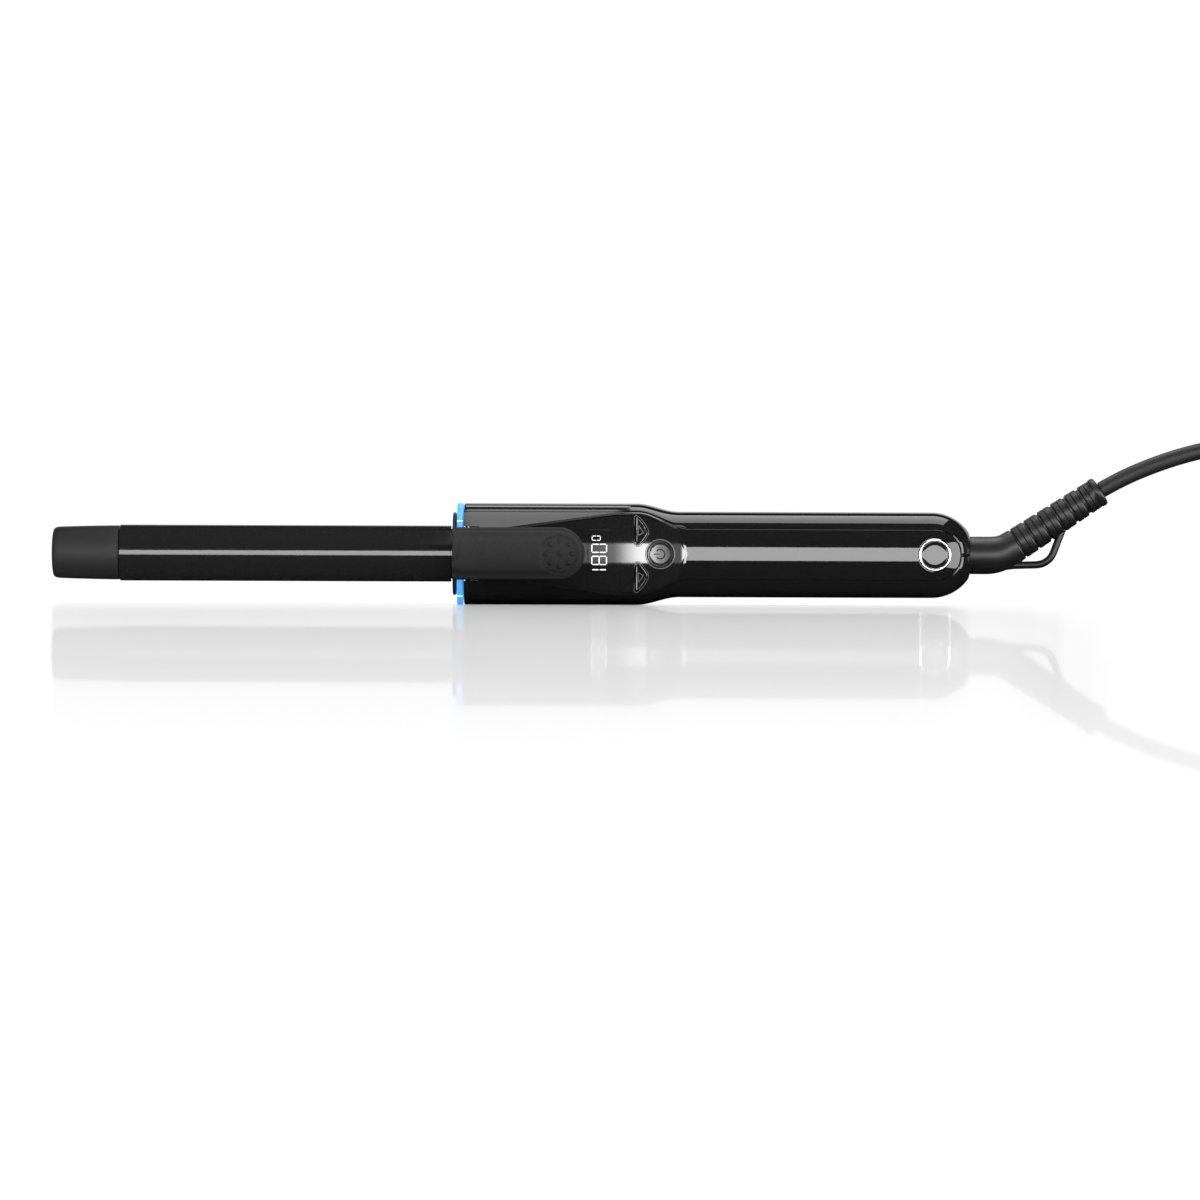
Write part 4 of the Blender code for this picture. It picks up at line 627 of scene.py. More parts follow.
def hank_turn(layer):
    """One turn of the hank: out on the near side, round, back, round and up a layer."""
    half, fold, waist = HANK_HALF_RUN, HANK_FOLD, HANK_WAIST
    flat = []
    steps = 9
    for k in range(-steps, steps):
        x = half * k / steps
        flat.append((x, waist + (fold - waist) * ease(abs(x) / half)))
    for k in range(12):
        turn = math.pi / 2 - math.pi * k / 12
        flat.append((half + fold * math.cos(turn), fold * math.sin(turn)))
    for k in range(-steps, steps):
        x = -half * k / steps
        flat.append((x, -waist - (fold - waist) * ease(abs(x) / half)))
    for k in range(12):
        turn = -math.pi / 2 - math.pi * k / 12
        flat.append((-half + fold * math.cos(turn), fold * math.sin(turn)))
    points = []
    for k, (x, y) in enumerate(flat):
        rise = ease((k / len(flat) - 0.80) / 0.20)
        height = HANK_FIRST + HANK_PITCH * (layer + rise)
        points.append((HANK_CENTRE[0] + x, HANK_CENTRE[1] + y, height))
    return points


def make_cord():
    route = [Vector(p) for p in smooth_line(CORD_ROUTE, 0.006)]
    for layer in range(HANK_LAYERS):
        route += [Vector(p) for p in hank_turn(layer)]
    route += [Vector(p) for p in TAIL_ROUTE]
    # the end goes a little way into the plug's relief
    route.append(route[-1] + (route[-1] - route[-2]).normalized() * 0.0015)
    path = smooth_line(route, 0.0035)
    local = [(p.x / MM, p.y / MM, p.z / MM - AXIS) for p in path]
    mesh = swept("cord", local, CORD_RADIUS / MM, sides=20)
    cord = piece("cord", mesh, cord_rubber, None, ("cord_tube", "cord_hank", "cord_tail"))
    return cord, [tuple(p) for p in path]


cord, cord_path = make_cord()

# ---- the handle's shells ---------------------------------------------------------------

PANEL_XS = sorted({*spaced(1.5, 17.5, 4.0), *spaced(17.5, 64, 1.0), *spaced(64, 90, 0.65),
                   *spaced(90, 178, 4.0)})
PANEL_XS += [SEAM_END + SEAM[1] * math.sin(math.pi / 2 * k / 20) for k in range(0, 21)]
SEAM_LINE = outline_of(seam_half, [*spaced(-20, 64, 4), *PANEL_XS[PANEL_XS.index(64.0):]])
EDGE_STEPS = [0.0, 0.02, 0.06, 0.12, 0.20, 0.40]
EDGE = 0.2


def crowded(half, count):
    return [half * math.sin(math.pi / 2 * (-1 + 2 * k / (count - 1))) for k in range(count)]


def fan(half, inner, steps=EDGE_STEPS):
    """Places across a width of twice half: close together at the two edges."""
    if half < 2.2:
        return crowded(half, inner + 2 * len(steps))
    left = [-half + step for step in steps]
    reach = half - 1.0
    middle = [-reach + 2 * reach * k / (inner - 1) for k in range(inner)]
    return left + middle + [-z for z in reversed(left)]


def make_panel():
    fascia_line = outline_of(fascia_half, spaced(FASCIA[0] + 1, FASCIA[1] + FASCIA[3], 0.8))
    outer, inner = [], []
    for x in PANEL_XS:
        top, low = [], []
        for z in fan(max(seam_half(x), 0.15), 56):
            drop = rounding(distance_to(SEAM_LINE, x, z), EDGE, EDGE)
            if 20 < x < 85 and abs(z) < fascia_half(x):
                drop += 1.1 * ease((distance_to(fascia_line, x, z) - 1.3) / 0.5)
            face = front_y(x, z)
            top.append((x, face + drop, z))
            low.append((x, max(face + 2.3, front_y(x, z, -2.0)), z))
        outer.append(top)
        inner.append(low)
    mesh = thick_sheet("front_casing", outer, inner)
    notch = rounded_box("notch", (-3, -25, -10.3), (7.5, -10.1, 10.3), 0.4)
    recess = turned_hole(BADGE_X, 6.45, -30, -14.25)
    key_hole = turned_hole(POWER[0], POWER[1] + KEY_GAP, -30, -10)
    mesh = carve(mesh, [notch, recess, key_hole], "front_casing")
    piece("front_casing", mesh, piano_black, "handle", ("front_panel",))


def turned_hole(x, radius, low, high):
    """A round cutter along Y, on the handle's middle line."""
    return plate_prism("hole", circle(x, 0.0, radius, 72), low, high, "y")


def make_rear_casing():
    gap = 0.3
    grown_end = SEAM_END + SEAM[1] + gap
    xs = sorted({*spaced(1.5, 2.2, 0.14), *spaced(2.2, 64, 4.0), *spaced(64, 90, 0.8),
                 *spaced(90, 178, 4.0)})
    xs += [SEAM_END + (SEAM[1] + gap) * math.sin(math.pi / 2 * k / 22) for k in range(0, 23)]
    xs += spaced(grown_end, HANDLE_END, 0.35)[1:]
    xs = [x for k, x in enumerate(xs) if k == 0 or x - xs[k - 1] > 1e-6]
    along = [*spaced(-20, 64, 4), *[x for x in xs if 64 <= x <= grown_end]]
    grown = outline_of(lambda x: seam_half(x, gap), along)
    outer, inner = [], []
    for x in xs:
        edge = seam_half(x, gap) if x < grown_end else 0.0
        start = angle_at(x, edge)
        count = 104
        top, low = [], []
        for k in range(count + 1):
            # close together at the seam's two edges
            t = k / count
            near = 0.5 - 0.5 * math.cos(math.pi * t)
            share = 0.75 * t + 0.25 * near
            angle = start + (2 * math.pi - 2 * start) * share
            point = on_form(x, angle)
            z = point[2]
            drop = 0.0
            if point[1] < 0 and x < grown_end + 1:
                drop = rounding(distance_to(grown, x, z), EDGE, EDGE)
            length = math.hypot(point[1], point[2])
            shrink = 1 - drop / length
            end_drop = rounding(x - xs[0], 0.5, 0.4) + rounding(HANDLE_END - x, 0.7, 0.5)
            shrink -= end_drop / length
            top.append((x, point[1] * shrink, z * shrink))
            inside = max(0.0, length - 2.0 - 0.3)
            if x > SEAM_END:
                inside = max(inside, 7.45)
                inside = min(inside, length * shrink - 0.25)
            low.append((x, point[1] * inside / length, z * inside / length))
        outer.append(top)
        inner.append(low)
    mesh = thick_sheet("rear_casing", outer, inner, angle=50)
    holes = []
    for x in SCREW_XS:
        holes.append(turned_hole(x, 2.9, 9.0, 30))
    mesh = carve(mesh, holes, "rear_casing")
    piece("rear_casing", mesh, piano_black, "handle", ("rear_housing",))
    for k, x in enumerate(SCREW_XS):
        well = turned("well", [(0, 3.05), (6.0, 3.05), (6.0, 1.55), (5.2, 1.55), (5.2, 2.75),
                               (0, 2.75)], 40,
                      closed=True)
        # from the X axis to the Y axis, sunk in from the back
        turn = Matrix.Translation((x * MM, 14.0 * MM,
                                   AXIS * MM)) @ Matrix.Rotation(-math.pi / 2, 4, "Z")
        well.transform(turn @ Matrix.Translation((0, 0, -AXIS * MM)))
        well.shade_smooth()
        piece(f"screw_well_{k + 1}", well, piano_black, "handle", ())


WING = [(66.4, 4.0), (66.55, 3.6), (67.0, 3.35), (67.6, 3.4), (68.2, 3.9), (69.3, 5.3), (70.4, 6.9),
        (70.85, 7.7),
        (70.9, 8.3), (70.5, 9.5), (69.9, 10.7), (69.0, 11.9), (68.0, 13.0), (67.1, 13.85),
        (66.7, 14.05),
        (66.45, 13.9), (66.4, 13.5)]


def moved_out(outline, distance):
    """A convex anticlockwise outline moved outwards on every side."""
    moved = []
    for before, here, after in zip(outline[-1:] + outline[:-1], outline, outline[1:] + outline[:1]):
        normals = []
        for (u0, v0), (u1, v1) in ((before, here), (here, after)):
            length = math.hypot(u1 - u0, v1 - v0)
            normals.append(((v1 - v0) / length, (u0 - u1) / length))
        (au, av), (bu, bv) = normals
        reach = distance / max(0.35, 1 + au * bu + av * bv)
        moved.append((here[0] + (au + bu) * reach, here[1] + (av + bv) * reach))
    return moved


DISPLAY = (48.2, 57.0, -6.6, 9.2)
POWER = (75.7, 4.9)


FASCIA_PROUD = 0.6  # how far the fascia stands out of the casing at its middle
FASCIA_CROWN = 0.0105  # how fast its face falls away to the sides, per mm


def fascia_y(x, z, height=0.0):
    """The fascia's face, flatter across than the casing under it."""
    near = min(abs(z), 9.0)
    far = abs(z) - near
    return front_y(x, 0, FASCIA_PROUD + height) + FASCIA_CROWN * near * near + 0.21 * far


def make_fascia():
    start, centre, _, length = FASCIA
    xs = [*spaced(start, start + 1.0, 0.12), *spaced(start + 1.0, 58.0, 1.2)[1:],
          *spaced(58.0, centre, 0.5)[1:]]
    xs += [centre + length * math.sin(math.pi / 2 * k / 60) for k in range(1, 61)]
    line = outline_of(fascia_half, xs)
    line = np.array([(start, 0.0), *line.tolist(), (start, 0.0)])
    steps = [0.0, 0.04, 0.12, 0.25, 0.42, 0.65, 0.95, 1.3]
    outer, inner = [], []
    for x in xs:
        half = max(fascia_half(x), 0.12)
        top, low = [], []
        across = fan(half, 36, steps) if half > 3.2 else crowded(half, 36 + 2 * len(steps))
        for z in across:
            distance = distance_to(line, x, z)
            # a narrow edge, wider and deeper round the rear end
            wide = 0.9 + 1.3 * ease((x - 74) / 8)
            drop = rounding(distance, wide, 0.8 * wide)
            base = front_y(x, z, -0.25)
            top.append((x, min(fascia_y(x, z) + drop, base - 0.25), z))
            low.append((x, base, z))
        outer.append(top)
        inner.append(low)
    mesh = thick_sheet("fascia", outer, inner)
    cutters = [turned_hole(POWER[0], POWER[1] + KEY_GAP, -30, -10)]
    for side in (1, -1):
        outline = moved_out(WING, 0.25)
        cutters.append(plate_prism("wing_hole", [(x, z * side) for x, z in outline], -30, -10, "y"))
    cutters.append(rounded_box("window_hole", (DISPLAY[0], -30, DISPLAY[2]),
                               (DISPLAY[1], -10, DISPLAY[3]), 0.6))
    mesh = carve(mesh, cutters, "fascia")
    piece("fascia", mesh, fascia_black, "handle", ("control_fascia",))


def on_front(mesh, offset):
    """Lays a flat mesh, drawn with its top at y = 0, onto the fascia's curved face."""
    for vert in mesh.vertices:
        x, z = vert.co.x / MM, vert.co.z / MM - AXIS
        vert.co.y += (fascia_y(x, z) - offset) * MM
    return mesh


def make_display():
    x0, x1, z0, z1 = DISPLAY
    gap = 0.03
    outer, inner = [], []
    for x in spaced(x0 + gap, x1 - gap, 0.25):
        top, low = [], []
        for z in spaced(z0 + gap, z1 - gap, 0.25):
            edge = min(x - x0 - gap, x1 - gap - x, z - z0 - gap, z1 - gap - z)
            face = fascia_y(x, z, 0.0) + rounding(edge, 0.08, 0.05)
            top.append((x, face, z))
            low.append((x, face + 1.2, z))
        outer.append(top)
        inner.append(low)
    mesh = thick_sheet("window", outer, inner)
    piece("window", mesh, fascia_black, "handle", ("display_window",))
    make_digits()


SEGMENTS = {
    "0": "abcdef",
    "1": "bc",
    "8": "abcdefg",
    "o": "abcdef",
}


STROKE = 0.38


def make_digits():
    """The lit digits. They read upwards, with their tops towards the barrel."""
    bars = []

    def bar(u0, v0, u1, v1, thick):
        # a lit bar with pointed ends, between two places in the digit's plane
        du, dv = u1 - u0, v1 - v0
        length = math.hypot(du, dv)
        du, dv = du / length, dv / length
        half = thick / 2
        gap = 0.13
        u0, v0, u1, v1 = u0 + du * gap, v0 + dv * gap, u1 - du * gap, v1 - dv * gap
        nu, nv = -dv, du
        points = [(u0, v0), (u0 + (du + nu) * half, v0 + (dv + nv) * half),
                  (u1 + (nu - du) * half, v1 + (nv - dv) * half), (u1, v1),
                  (u1 - (du + nu) * half, v1 - (dv + nv) * half),
                  (u0 + (du - nu) * half, v0 + (dv - nv) * half)]
        bars.append(plate_prism("bar", points, -0.05, 0.10, "y"))

    def digit(kind, x_top, x_low, z_left, z_right, thick):
        # the digit's up is -X and its right is +Z
        middle = (x_top + x_low) / 2
        places = {
            "a": (x_top, z_left, x_top, z_right),
            "b": (x_top, z_right, middle, z_right),
            "c": (middle, z_right, x_low, z_right),
            "d": (x_low, z_left, x_low, z_right),
            "e": (middle, z_left, x_low, z_left),
            "f": (x_top, z_left, middle, z_left),
            "g": (middle, z_left, middle, z_right),
        }
        for segment in SEGMENTS[kind]:
            bar(*places[segment], thick)

    digit("1", 49.9, 55.45, -6.0, -5.95, STROKE)
    digit("8", 49.9, 55.45, -4.0, -0.9, STROKE)
    digit("0", 49.9, 55.45, 0.6, 3.65, STROKE)
    digit("o", 50.0, 53.1, 5.15, 6.75, 0.7 * STROKE)
    mesh = on_front(merged("digits", bars), 0.0)
    piece("digits", mesh, digit_light, "handle", ())


def disc_on_front(name, x0, z0, rings, bottom):
    """A round key: rings of (radius, height above the fascia's face), outer ring first."""
    sides = 96
    shape = bmesh.new()
    rows = []
    levels = [(rings[0][0], bottom)] + [(r, None, h) for r, h in rings]
    for level in levels:
        radius = level[0]
        ring = []
        for k in range(sides):
            turn = 2 * math.pi * k / sides
            x, z = x0 + radius * math.cos(turn), z0 + radius * math.sin(turn)
            y = level[1] if len(level) == 2 else fascia_y(x, z) - level[2]
            ring.append(shape.verts.new(at(x, y, z)))
        rows.append(ring)
    join_rings(shape, rows)
    shape.faces.new(rows[0])
    tip = shape.verts.new(at(x0, fascia_y(x0, z0) - rings[-1][1], z0))
    for k in range(sides):
        shape.faces.new((rows[-1][k], rows[-1][(k + 1) % sides], tip))
    return finish_mesh(bpy.data.meshes.new(name), shape, 50)


def pad_on_front(name, outline, layers, bottom):
    """A key of any convex outline: layers of (inset, height), outer first."""
    shape = bmesh.new()
    rows = []
    for inset, height in [(layers[0][0], None), *layers]:
        ring = []
        for x, z in moved_out(outline, -inset):
            y = bottom if height is None else fascia_y(x, z) - height
            ring.append(shape.verts.new(at(x, y, z)))
        rows.append(ring)
    join_rings(shape, rows)
    shape.faces.new(rows[0])
    shape.faces.new(rows[-1])
    return finish_mesh(bpy.data.meshes.new(name), shape, 50)


def ribbon_on_front(name, outline, width, height):
    """A thin raised line along a closed convex outline on the fascia."""
    outer = moved_out(outline, width / 2)
    middle = outline
    inner = moved_out(outline, -width / 2)
    shape = bmesh.new()
    rows = []
    for line, rise in ((outer, -0.06), (outer, height * 0.4), (middle, height), (inner, height * 0.4),
                       (inner, -0.06)):
        rows.append([shape.verts.new(at(x, fascia_y(x, z) - rise, z)) for x, z in line])
    join_rings(shape, rows + rows[:1])
    return finish_mesh(bpy.data.meshes.new(name), shape, 60)


def make_keys():
    # a lighter grey ring round the power key: a painted highlight on the fascia's edge
    rim_highlight = ribbon_on_front("key_rim_highlight", circle(POWER[0], 0.0, 5.5, 96), 0.34, 0.16)
    piece("key_rim_highlight", rim_highlight, print_and_highlight_grey, "handle", ())
    # the power key: a bright rim, a groove and a shallow dished face
    rings = [(4.88, -0.2), (4.88, 0.30), (4.78, 0.44), (4.62, 0.50), (4.46, 0.46), (4.36, 0.36),
             (4.28, 0.22),
             (4.16, 0.18), (4.04, 0.26), (3.9, 0.36), (3.7, 0.42), (3.4, 0.42), (2.8, 0.34),
             (2.1, 0.26), (1.4, 0.21),
             (0.7, 0.18)]
    mesh = disc_on_front("power_key_top", POWER[0], 0.0, rings, -15.2)
    piece("power_key_top", mesh, key_black, "power_key", ("power_button",))
    # its sign: an open ring and a bar, towards the barrel
    parts = []
    for k in range(22):
        a0 = math.radians(180 + 38 + (284) * k / 22)
        a1 = math.radians(180 + 38 + (284) * (k + 1) / 22)
        outline = [(POWER[0] + r * math.cos(a), r * math.sin(a)) for a, r in
                   ((a0, 1.55), (a1, 1.55), (a1, 1.95), (a0, 1.95))]
        parts.append(plate_prism("arc", outline, -0.10, 0.08, "y"))
    bar = [(POWER[0] - 2.35, -0.2), (POWER[0] - 0.35, -0.2), (POWER[0] - 0.35, 0.2),
           (POWER[0] - 2.35, 0.2)]
    parts.append(plate_prism("bar", bar, -0.10, 0.08, "y"))
    mesh = merged("power_sign", parts)
    for vert in mesh.vertices:
        x, z = vert.co.x / MM, vert.co.z / MM - AXIS
        radius = math.hypot(x - POWER[0], z)
        height = float(np.interp(radius, [0, 0.7, 1.4, 2.1, 2.8], [0.18, 0.18, 0.21, 0.26, 0.34]))
        vert.co.y += (fascia_y(x, z) - height) * MM
    piece("power_sign", mesh, sign_black, "power_key", ())
    # the wing keys: a raised rim round a sunk face with a small arrowhead
    for label, side in (("up", 1), ("down", -1)):
        outline = WING if side > 0 else [(x, -z) for x, z in reversed(WING)]
        # a lighter grey line round each wing key: a painted highlight on its edge
        edge = ribbon_on_front(f"{label}_rim", moved_out(outline, 0.5), 0.20, 0.12)
        piece(f"{label}_rim", edge, print_and_highlight_grey, "handle", ())
        layers = [(0.0, -0.2), (0.0, 0.16), (0.08, 0.28), (0.2, 0.34), (0.34, 0.34), (0.46, 0.26),
                  (0.56, 0.12),
                  (0.68, 0.10)]
        mesh = pad_on_front(f"{label}_key_top", outline, layers, -12.9)
        piece(f"{label}_key_top", mesh, fascia_black, f"{label}_key", (f"{label}_button",))
        head = [(67.3, 7.0), (69.4, 8.1), (67.6, 10.7)]
        bars = []
        for (u0, v0), (u1, v1) in zip(head, head[1:] + head[:1]):
            length = math.hypot(u1 - u0, v1 - v0)
            nu, nv = -(v1 - v0) / length * 0.13, (u1 - u0) / length * 0.13
            bar = [(u0 - nu, v0 - nv), (u1 - nu, v1 - nv), (u1 + nu, v1 + nv), (u0 + nu, v0 + nv)]
            bars.append(plate_prism("arrow", [(x, z * side) for x, z in bar[::side]], -0.08, 0.1, "y"))
        arrow = on_front(merged(f"{label}_sign", bars), 0.10)
        piece(f"{label}_sign", arrow, print_and_highlight_grey, f"{label}_key", ())


def make_badge():
    profile = [(0.75, 6.2), (-0.05, 6.2), (-0.3, 6.02), (-0.42, 5.75), (-0.36, 5.45), (-0.15, 5.25),
               (0.75, 5.2)]
    ring = turned("badge_trim", profile, 96, closed=True)
    stand_up(ring, BADGE_X, -REAR[0])
    piece("badge_trim", ring, chrome, "handle", ("badge_ring",))
    disc = turned("badge_face",
                  [(0.7, 0.0), (0.7, 5.05), (0.05, 5.05), (-0.05, 4.9), (-0.12, 3.5), (-0.16, 2.0),
                                 (-0.18, 0.0)], 96)
    stand_up(disc, BADGE_X, -REAR[0])
    piece("badge_face", disc, piano_black, "handle", ("badge_disc",))


def stand_up(mesh, x, y):
    """Turns a mesh drawn about the X axis so that its -X end looks towards -Y, at (x, y)."""
    turn = Matrix.Translation((x * MM, y * MM, AXIS * MM)) @ Matrix.Rotation(math.pi / 2, 4, "Z")
    mesh.transform(turn @ Matrix.Translation((0, 0, -AXIS * MM)))
    return mesh


# ---- the front: collar, ring and barrel ------------------------------------------------


def oval_ring(name, x0, x1, outer_sizes, inner_at, notch, edge):
    """An oval ring, open over the notch at its front. inner_at(y, z) gives its inner side."""
    half_y, half_z = outer_sizes
    power, columns = FRONT[2], 120
    start = math.asin((notch / half_z) ** (power / 2)) if notch else 0.0
    outer, inner = [], []
    xs = [x0, x0 + edge * 0.15, x0 + edge * 0.5, x0 + edge, x1 - edge, x1 - edge * 0.5,
          x1 - edge * 0.15, x1]
    for x in xs:
        top, low = [], []
        drop = rounding(min(x - x0, x1 - x), edge, edge)
        for k in range(columns + 1):
            angle = start + (2 * math.pi - 2 * start) * k / columns
            y, z = oval_point(half_y, half_z, power, angle)
            length = math.hypot(y, z)
            shrink = 1 - drop / length
            top.append((x, y * shrink, z * shrink))
            low.append((x, *inner_at(y, z)))
        outer.append(top)
        inner.append(low)
    return thick_sheet(name, outer, inner)


def along_pin(mesh, height):
    """Turns a mesh drawn about the X axis to stand on the hinge pin's line, at a height."""
    place = Matrix.Translation((PIN[0] * MM, PIN[1] * MM, (AXIS + height) * MM))
    turn = place @ Matrix.Rotation(-math.pi / 2, 4, "Y")
    mesh.transform(turn @ Matrix.Translation((0, 0, -AXIS * MM)))


def make_front():
    def scaled(share):
        return lambda y, z: (y * share, z * share)

    def round_hole(radius):
        def at(y, z):
            length = math.hypot(y, z)
            return y * radius / length, z * radius / length
        return at

    ring = oval_ring("light_band", -1.1, 1.1, (16.45, 19.3), scaled(0.82), 9.6, 0.25)
    piece("light_band", ring, ring_light, "handle", ("light_ring",))
    bars = []
    half = 0.35
    for z in (12.2, -16.0):
        y = -16.45 * (1 - abs(z / 19.3) ** 2.6) ** (1 / 2.6)
        bars.append(rounded_box("spark", (-1.05, y - 0.06, z - half), (1.05, y + 0.5, z + half), 0.1))
    piece("light_sparks", merged("light_sparks", bars), ring_spark, "handle", ())

    collar = oval_ring("collar", -2.8, -1.5, (13.5, 15.7), round_hole(11.3), 6.2, 0.45)
    ears = []
    for side in (1, -1):
        low, high = sorted((side * 6.6, side * 8.4))
        ears.append(rounded_box("ear", (-2.4, -17.2, low), (5.4, -10.9, high), 0.4))
        knuckle = turned("knuckle",
                         [(0, 1.3), (0, 2.3), (0.15, 2.4), (1.65, 2.4), (1.8, 2.3), (1.8, 1.3)], 48,
                         closed=True)
        along_pin(knuckle, low)
        ears.append(knuckle)
    piece("collar", merged("collar", [collar, *ears]), satin_black, "handle", ("collar_plate",))

    pin = turned("pin", [(-10.1, 0.0), (-10.1, 0.55), (-9.98, 0.82), (-9.75, 0.98), (9.75, 0.98),
                         (9.98, 0.82),
                         (10.1, 0.55), (10.1, 0.0)], 40)
    along_pin(pin, 0.0)
    piece("pin", pin, chrome, "handle", ("hinge_pin",))

    barrel = turned("barrel",
                    [(14, BARREL_RADIUS), (-129.0, BARREL_RADIUS), (-129.2, 9.3), (-129.2, 8.7),
                     (14, 8.7)], 128, closed=True)
    piece("barrel", barrel, barrel_coat, "handle", ("barrel_tube",))

    profile = [(-121.0, 0.0), (-121.0, 5.0), (-121.4, 5.2), (-129.45, 5.2), (-129.45, 10.0),
               (-129.5, 10.18),
               (-129.7, 10.26), (-133, 10.25), (-138, 10.18), (-146, 9.98), (-151.5, 9.8),
               (-152.6, 9.74), (-153.3, 9.6),
               (-153.9, 9.35), (-154.35, 8.95), (-154.6, 8.4), (-154.78, 7.4), (-154.9, 5.6),
               (-154.97, 3.0),
               (-155.0, 0.0)]
    tip = turned("tip", profile, 128, angle=60)
    piece("tip", tip, tip_plastic, "handle", ("cool_tip",))


# ---- the clamp -------------------------------------------------------------------------


def lever_under(x):
    return -20.0 - 6.6 * max(0.0, x - 5.5) / 41.8


LEVER = (-2.8, 47.3, 9.9)


def lever_half(x):
    start, end, half = LEVER
    corner = 0.9
    if x > end - half:
        half = math.sqrt(max(0.0, half**2 - (x - (end - half)) ** 2))
    if x < start + corner:
        half = half - corner + math.sqrt(max(0.0, corner**2 - (start + corner - x) ** 2))
    return half


def make_lever():
    start, end, half = LEVER
    xs = [start + 0.9 - 0.9 * math.cos(math.pi / 2 * k / 6) for k in range(7)]
    xs += spaced(start + 0.9, 28.0, 0.9)[1:]
    xs += spaced(28.0, end - half, 0.3)[1:]
    xs += [end - half + half * math.sin(math.pi / 2 * k / 48) for k in range(1, 49)]
    line = outline_of(lever_half, xs)
    line = np.array([(start, 0.0), *line.tolist()])
    dimple_x, dimple_radius, bump_circle, bump_radius = 37.6, 8.0, 4.9, 0.85
    bumps = [(dimple_x, 0.0), *circle(dimple_x, 0.0, bump_circle, 8)]
    steps = [0.0, 0.05, 0.15, 0.3, 0.45, 0.6, 0.85]
    outer, inner = [], []
    for x in xs:
        wide = max(lever_half(x), 0.15)
        top, low = [], []
        across = fan(wide, 62, steps) if wide > 2.4 else crowded(wide, 62 + 2 * len(steps))
        for z in across:
            distance = distance_to(line, x, z)
            under = lever_under(x)
            # a rim all round, and inside it a slightly crowned face
            rise = 2.4 - rounding(distance, 0.55, 0.55)
            rise -= 0.14 * ease((distance - 0.55) / 0.5) if distance > 0.55 else 0.0
            rise += 0.75 * (1 - (z / half) ** 2) * ease((distance - 0.8) / 3.0)
            away = math.hypot(x - dimple_x, z)
            if away < dimple_radius:
                rise -= 0.75 * ease((dimple_radius - away) / 2.0)
            for bx, bz in bumps:
                near = math.hypot(x - bx, z - bz)
                if near < bump_radius:
                    rise += 0.45 * math.sqrt(max(0.0, 1 - (near / bump_radius) ** 2)) ** 0.8
            top.append((x, under - rise, z))
            low.append((x, under, z))
        outer.append(top)
        inner.append(low)
    plate = thick_sheet("lever", outer, inner, 45)
    # the root's two side skirts, round the pin
    skirts = []
    outline = [(-2.7, -19.5), (-2.7, -18.8), (0.8, -17.6)]
    outline += [(PIN[0] + 2.5 * math.cos(math.radians(a)), PIN[1] + 2.5 * math.sin(math.radians(a)))
                for a in range(170, 5, -12)]
    outline += [(5.6, -17.6), (15.0, lever_under(15.0) + 0.3), (15.0, lever_under(15.0) - 0.8),
                (5.5, -20.9), (-2.7, -20.9)]
    for side in (1, -1):
        low, high = sorted((side * 8.9, side * 9.85))
        skirts.append(plate_prism("skirt", outline[::-1], low, high, "z", 0.15))
    skirts = [carve(mesh, [pin_hole()], "skirt") for mesh in skirts]
    piece("lever", merged("lever", [plate, *skirts], 45), soft_touch, "clamp", ("thumb_lever",))


def pin_hole():
    return plate_prism("pin_hole", circle(*PIN, 1.25, 48), -20, 20, "z")


def make_clip():
    start, end, corner = -129.2, -3.4, 1.2
    xs = [start + corner - corner * math.cos(math.pi / 2 * k / 10) for k in range(11)]
    xs += spaced(start + corner, end, 6.0)[1:]
    xs = [*xs[:-1], end - 0.6, end - 0.32, end - 0.25, end - 0.1, end]
    xs = sorted({round(x, 5) for x in xs})
    outer, inner = [], []
    for x in xs:
        recede = 0.0
        if x < start + corner:
            recede = corner - math.sqrt(max(0.0, corner**2 - (start + corner - x) ** 2))
        edge = 0.3 + recede
        drop = rounding(min(x - start, end - x), 0.25, 0.25)
        top, low = [], []
        count = 72
        for k in range(count + 1):
            t = -1 + 2 * k / count
            t = math.copysign(1 - (1 - abs(t)) ** 1.25, t)
            limit = math.acos(edge / 10.25)
            angle = limit * t
            side_drop = rounding((limit - abs(angle)) * CLIP_OUTER, 0.3, 0.3)
            radius = CLIP_OUTER - max(drop, side_drop)
            top.append((x, -radius * math.cos(angle), radius * math.sin(angle)))
            low.append((x, -CLIP_INNER * math.cos(angle), CLIP_INNER * math.sin(angle)))
        outer.append(top)
        inner.append(low)
    shell = thick_sheet("clip", outer, inner, 50)
    # the neck that joins it to the lever
    outer, inner = [], []
    for x in (-3.9, -3.6, -3.0, -2.4, -1.75):
        turns = [math.asin(4.5 / CLIP_OUTER) * (-1 + k / 12) for k in range(25)]
        outer.append([(x, -10.68 * math.cos(a), 10.68 * math.sin(a)) for a in turns])
        inner.append([(x, -9.87 * math.cos(a), 9.87 * math.sin(a)) for a in turns])
    crown = thick_sheet("crown", outer, inner, 50)
    tongue = [(-2.55, -10.2), (-2.55, -19.0), (5.5, -19.05), (19.9, -21.32), (20.0, -20.6),
              (5.5, -18.3),
              (-1.75, -18.3), (-1.75, -10.2)]
    tongue = plate_prism("tongue", tongue, -4.4, 4.4, "z", 0.12)
    piece("clip", merged("clip", [shell, crown, tongue], 50), clip_coat, "clamp", ("clip_plate",))


def make_spring():
    points = [(PIN[0] + 4.4, -17.5, -4.8), (PIN[0] + 2.2, -17.9, -4.8)]
    turns, steps, coil = 6, 20, 1.72
    for k in range(turns * steps + 1):
        angle = -math.pi / 2 + 2 * math.pi * k / steps
        points.append((PIN[0] + coil * math.cos(angle), PIN[1] + coil * math.sin(angle),
                       -4.8 + 9.6 * k / (turns * steps)))
    points += [(PIN[0] + 2.2, -17.9, 4.8), (PIN[0] + 4.4, -17.5, 4.8)]
    mesh = swept("spring", points, 0.33, sides=10)
    piece("spring", mesh, steel, "clamp", ("torsion_spring",))


# ---- the cord's strain relief ----------------------------------------------------------

GLAND_CORNER = 204.9
BOOT_ANGLE = math.radians(33.1)


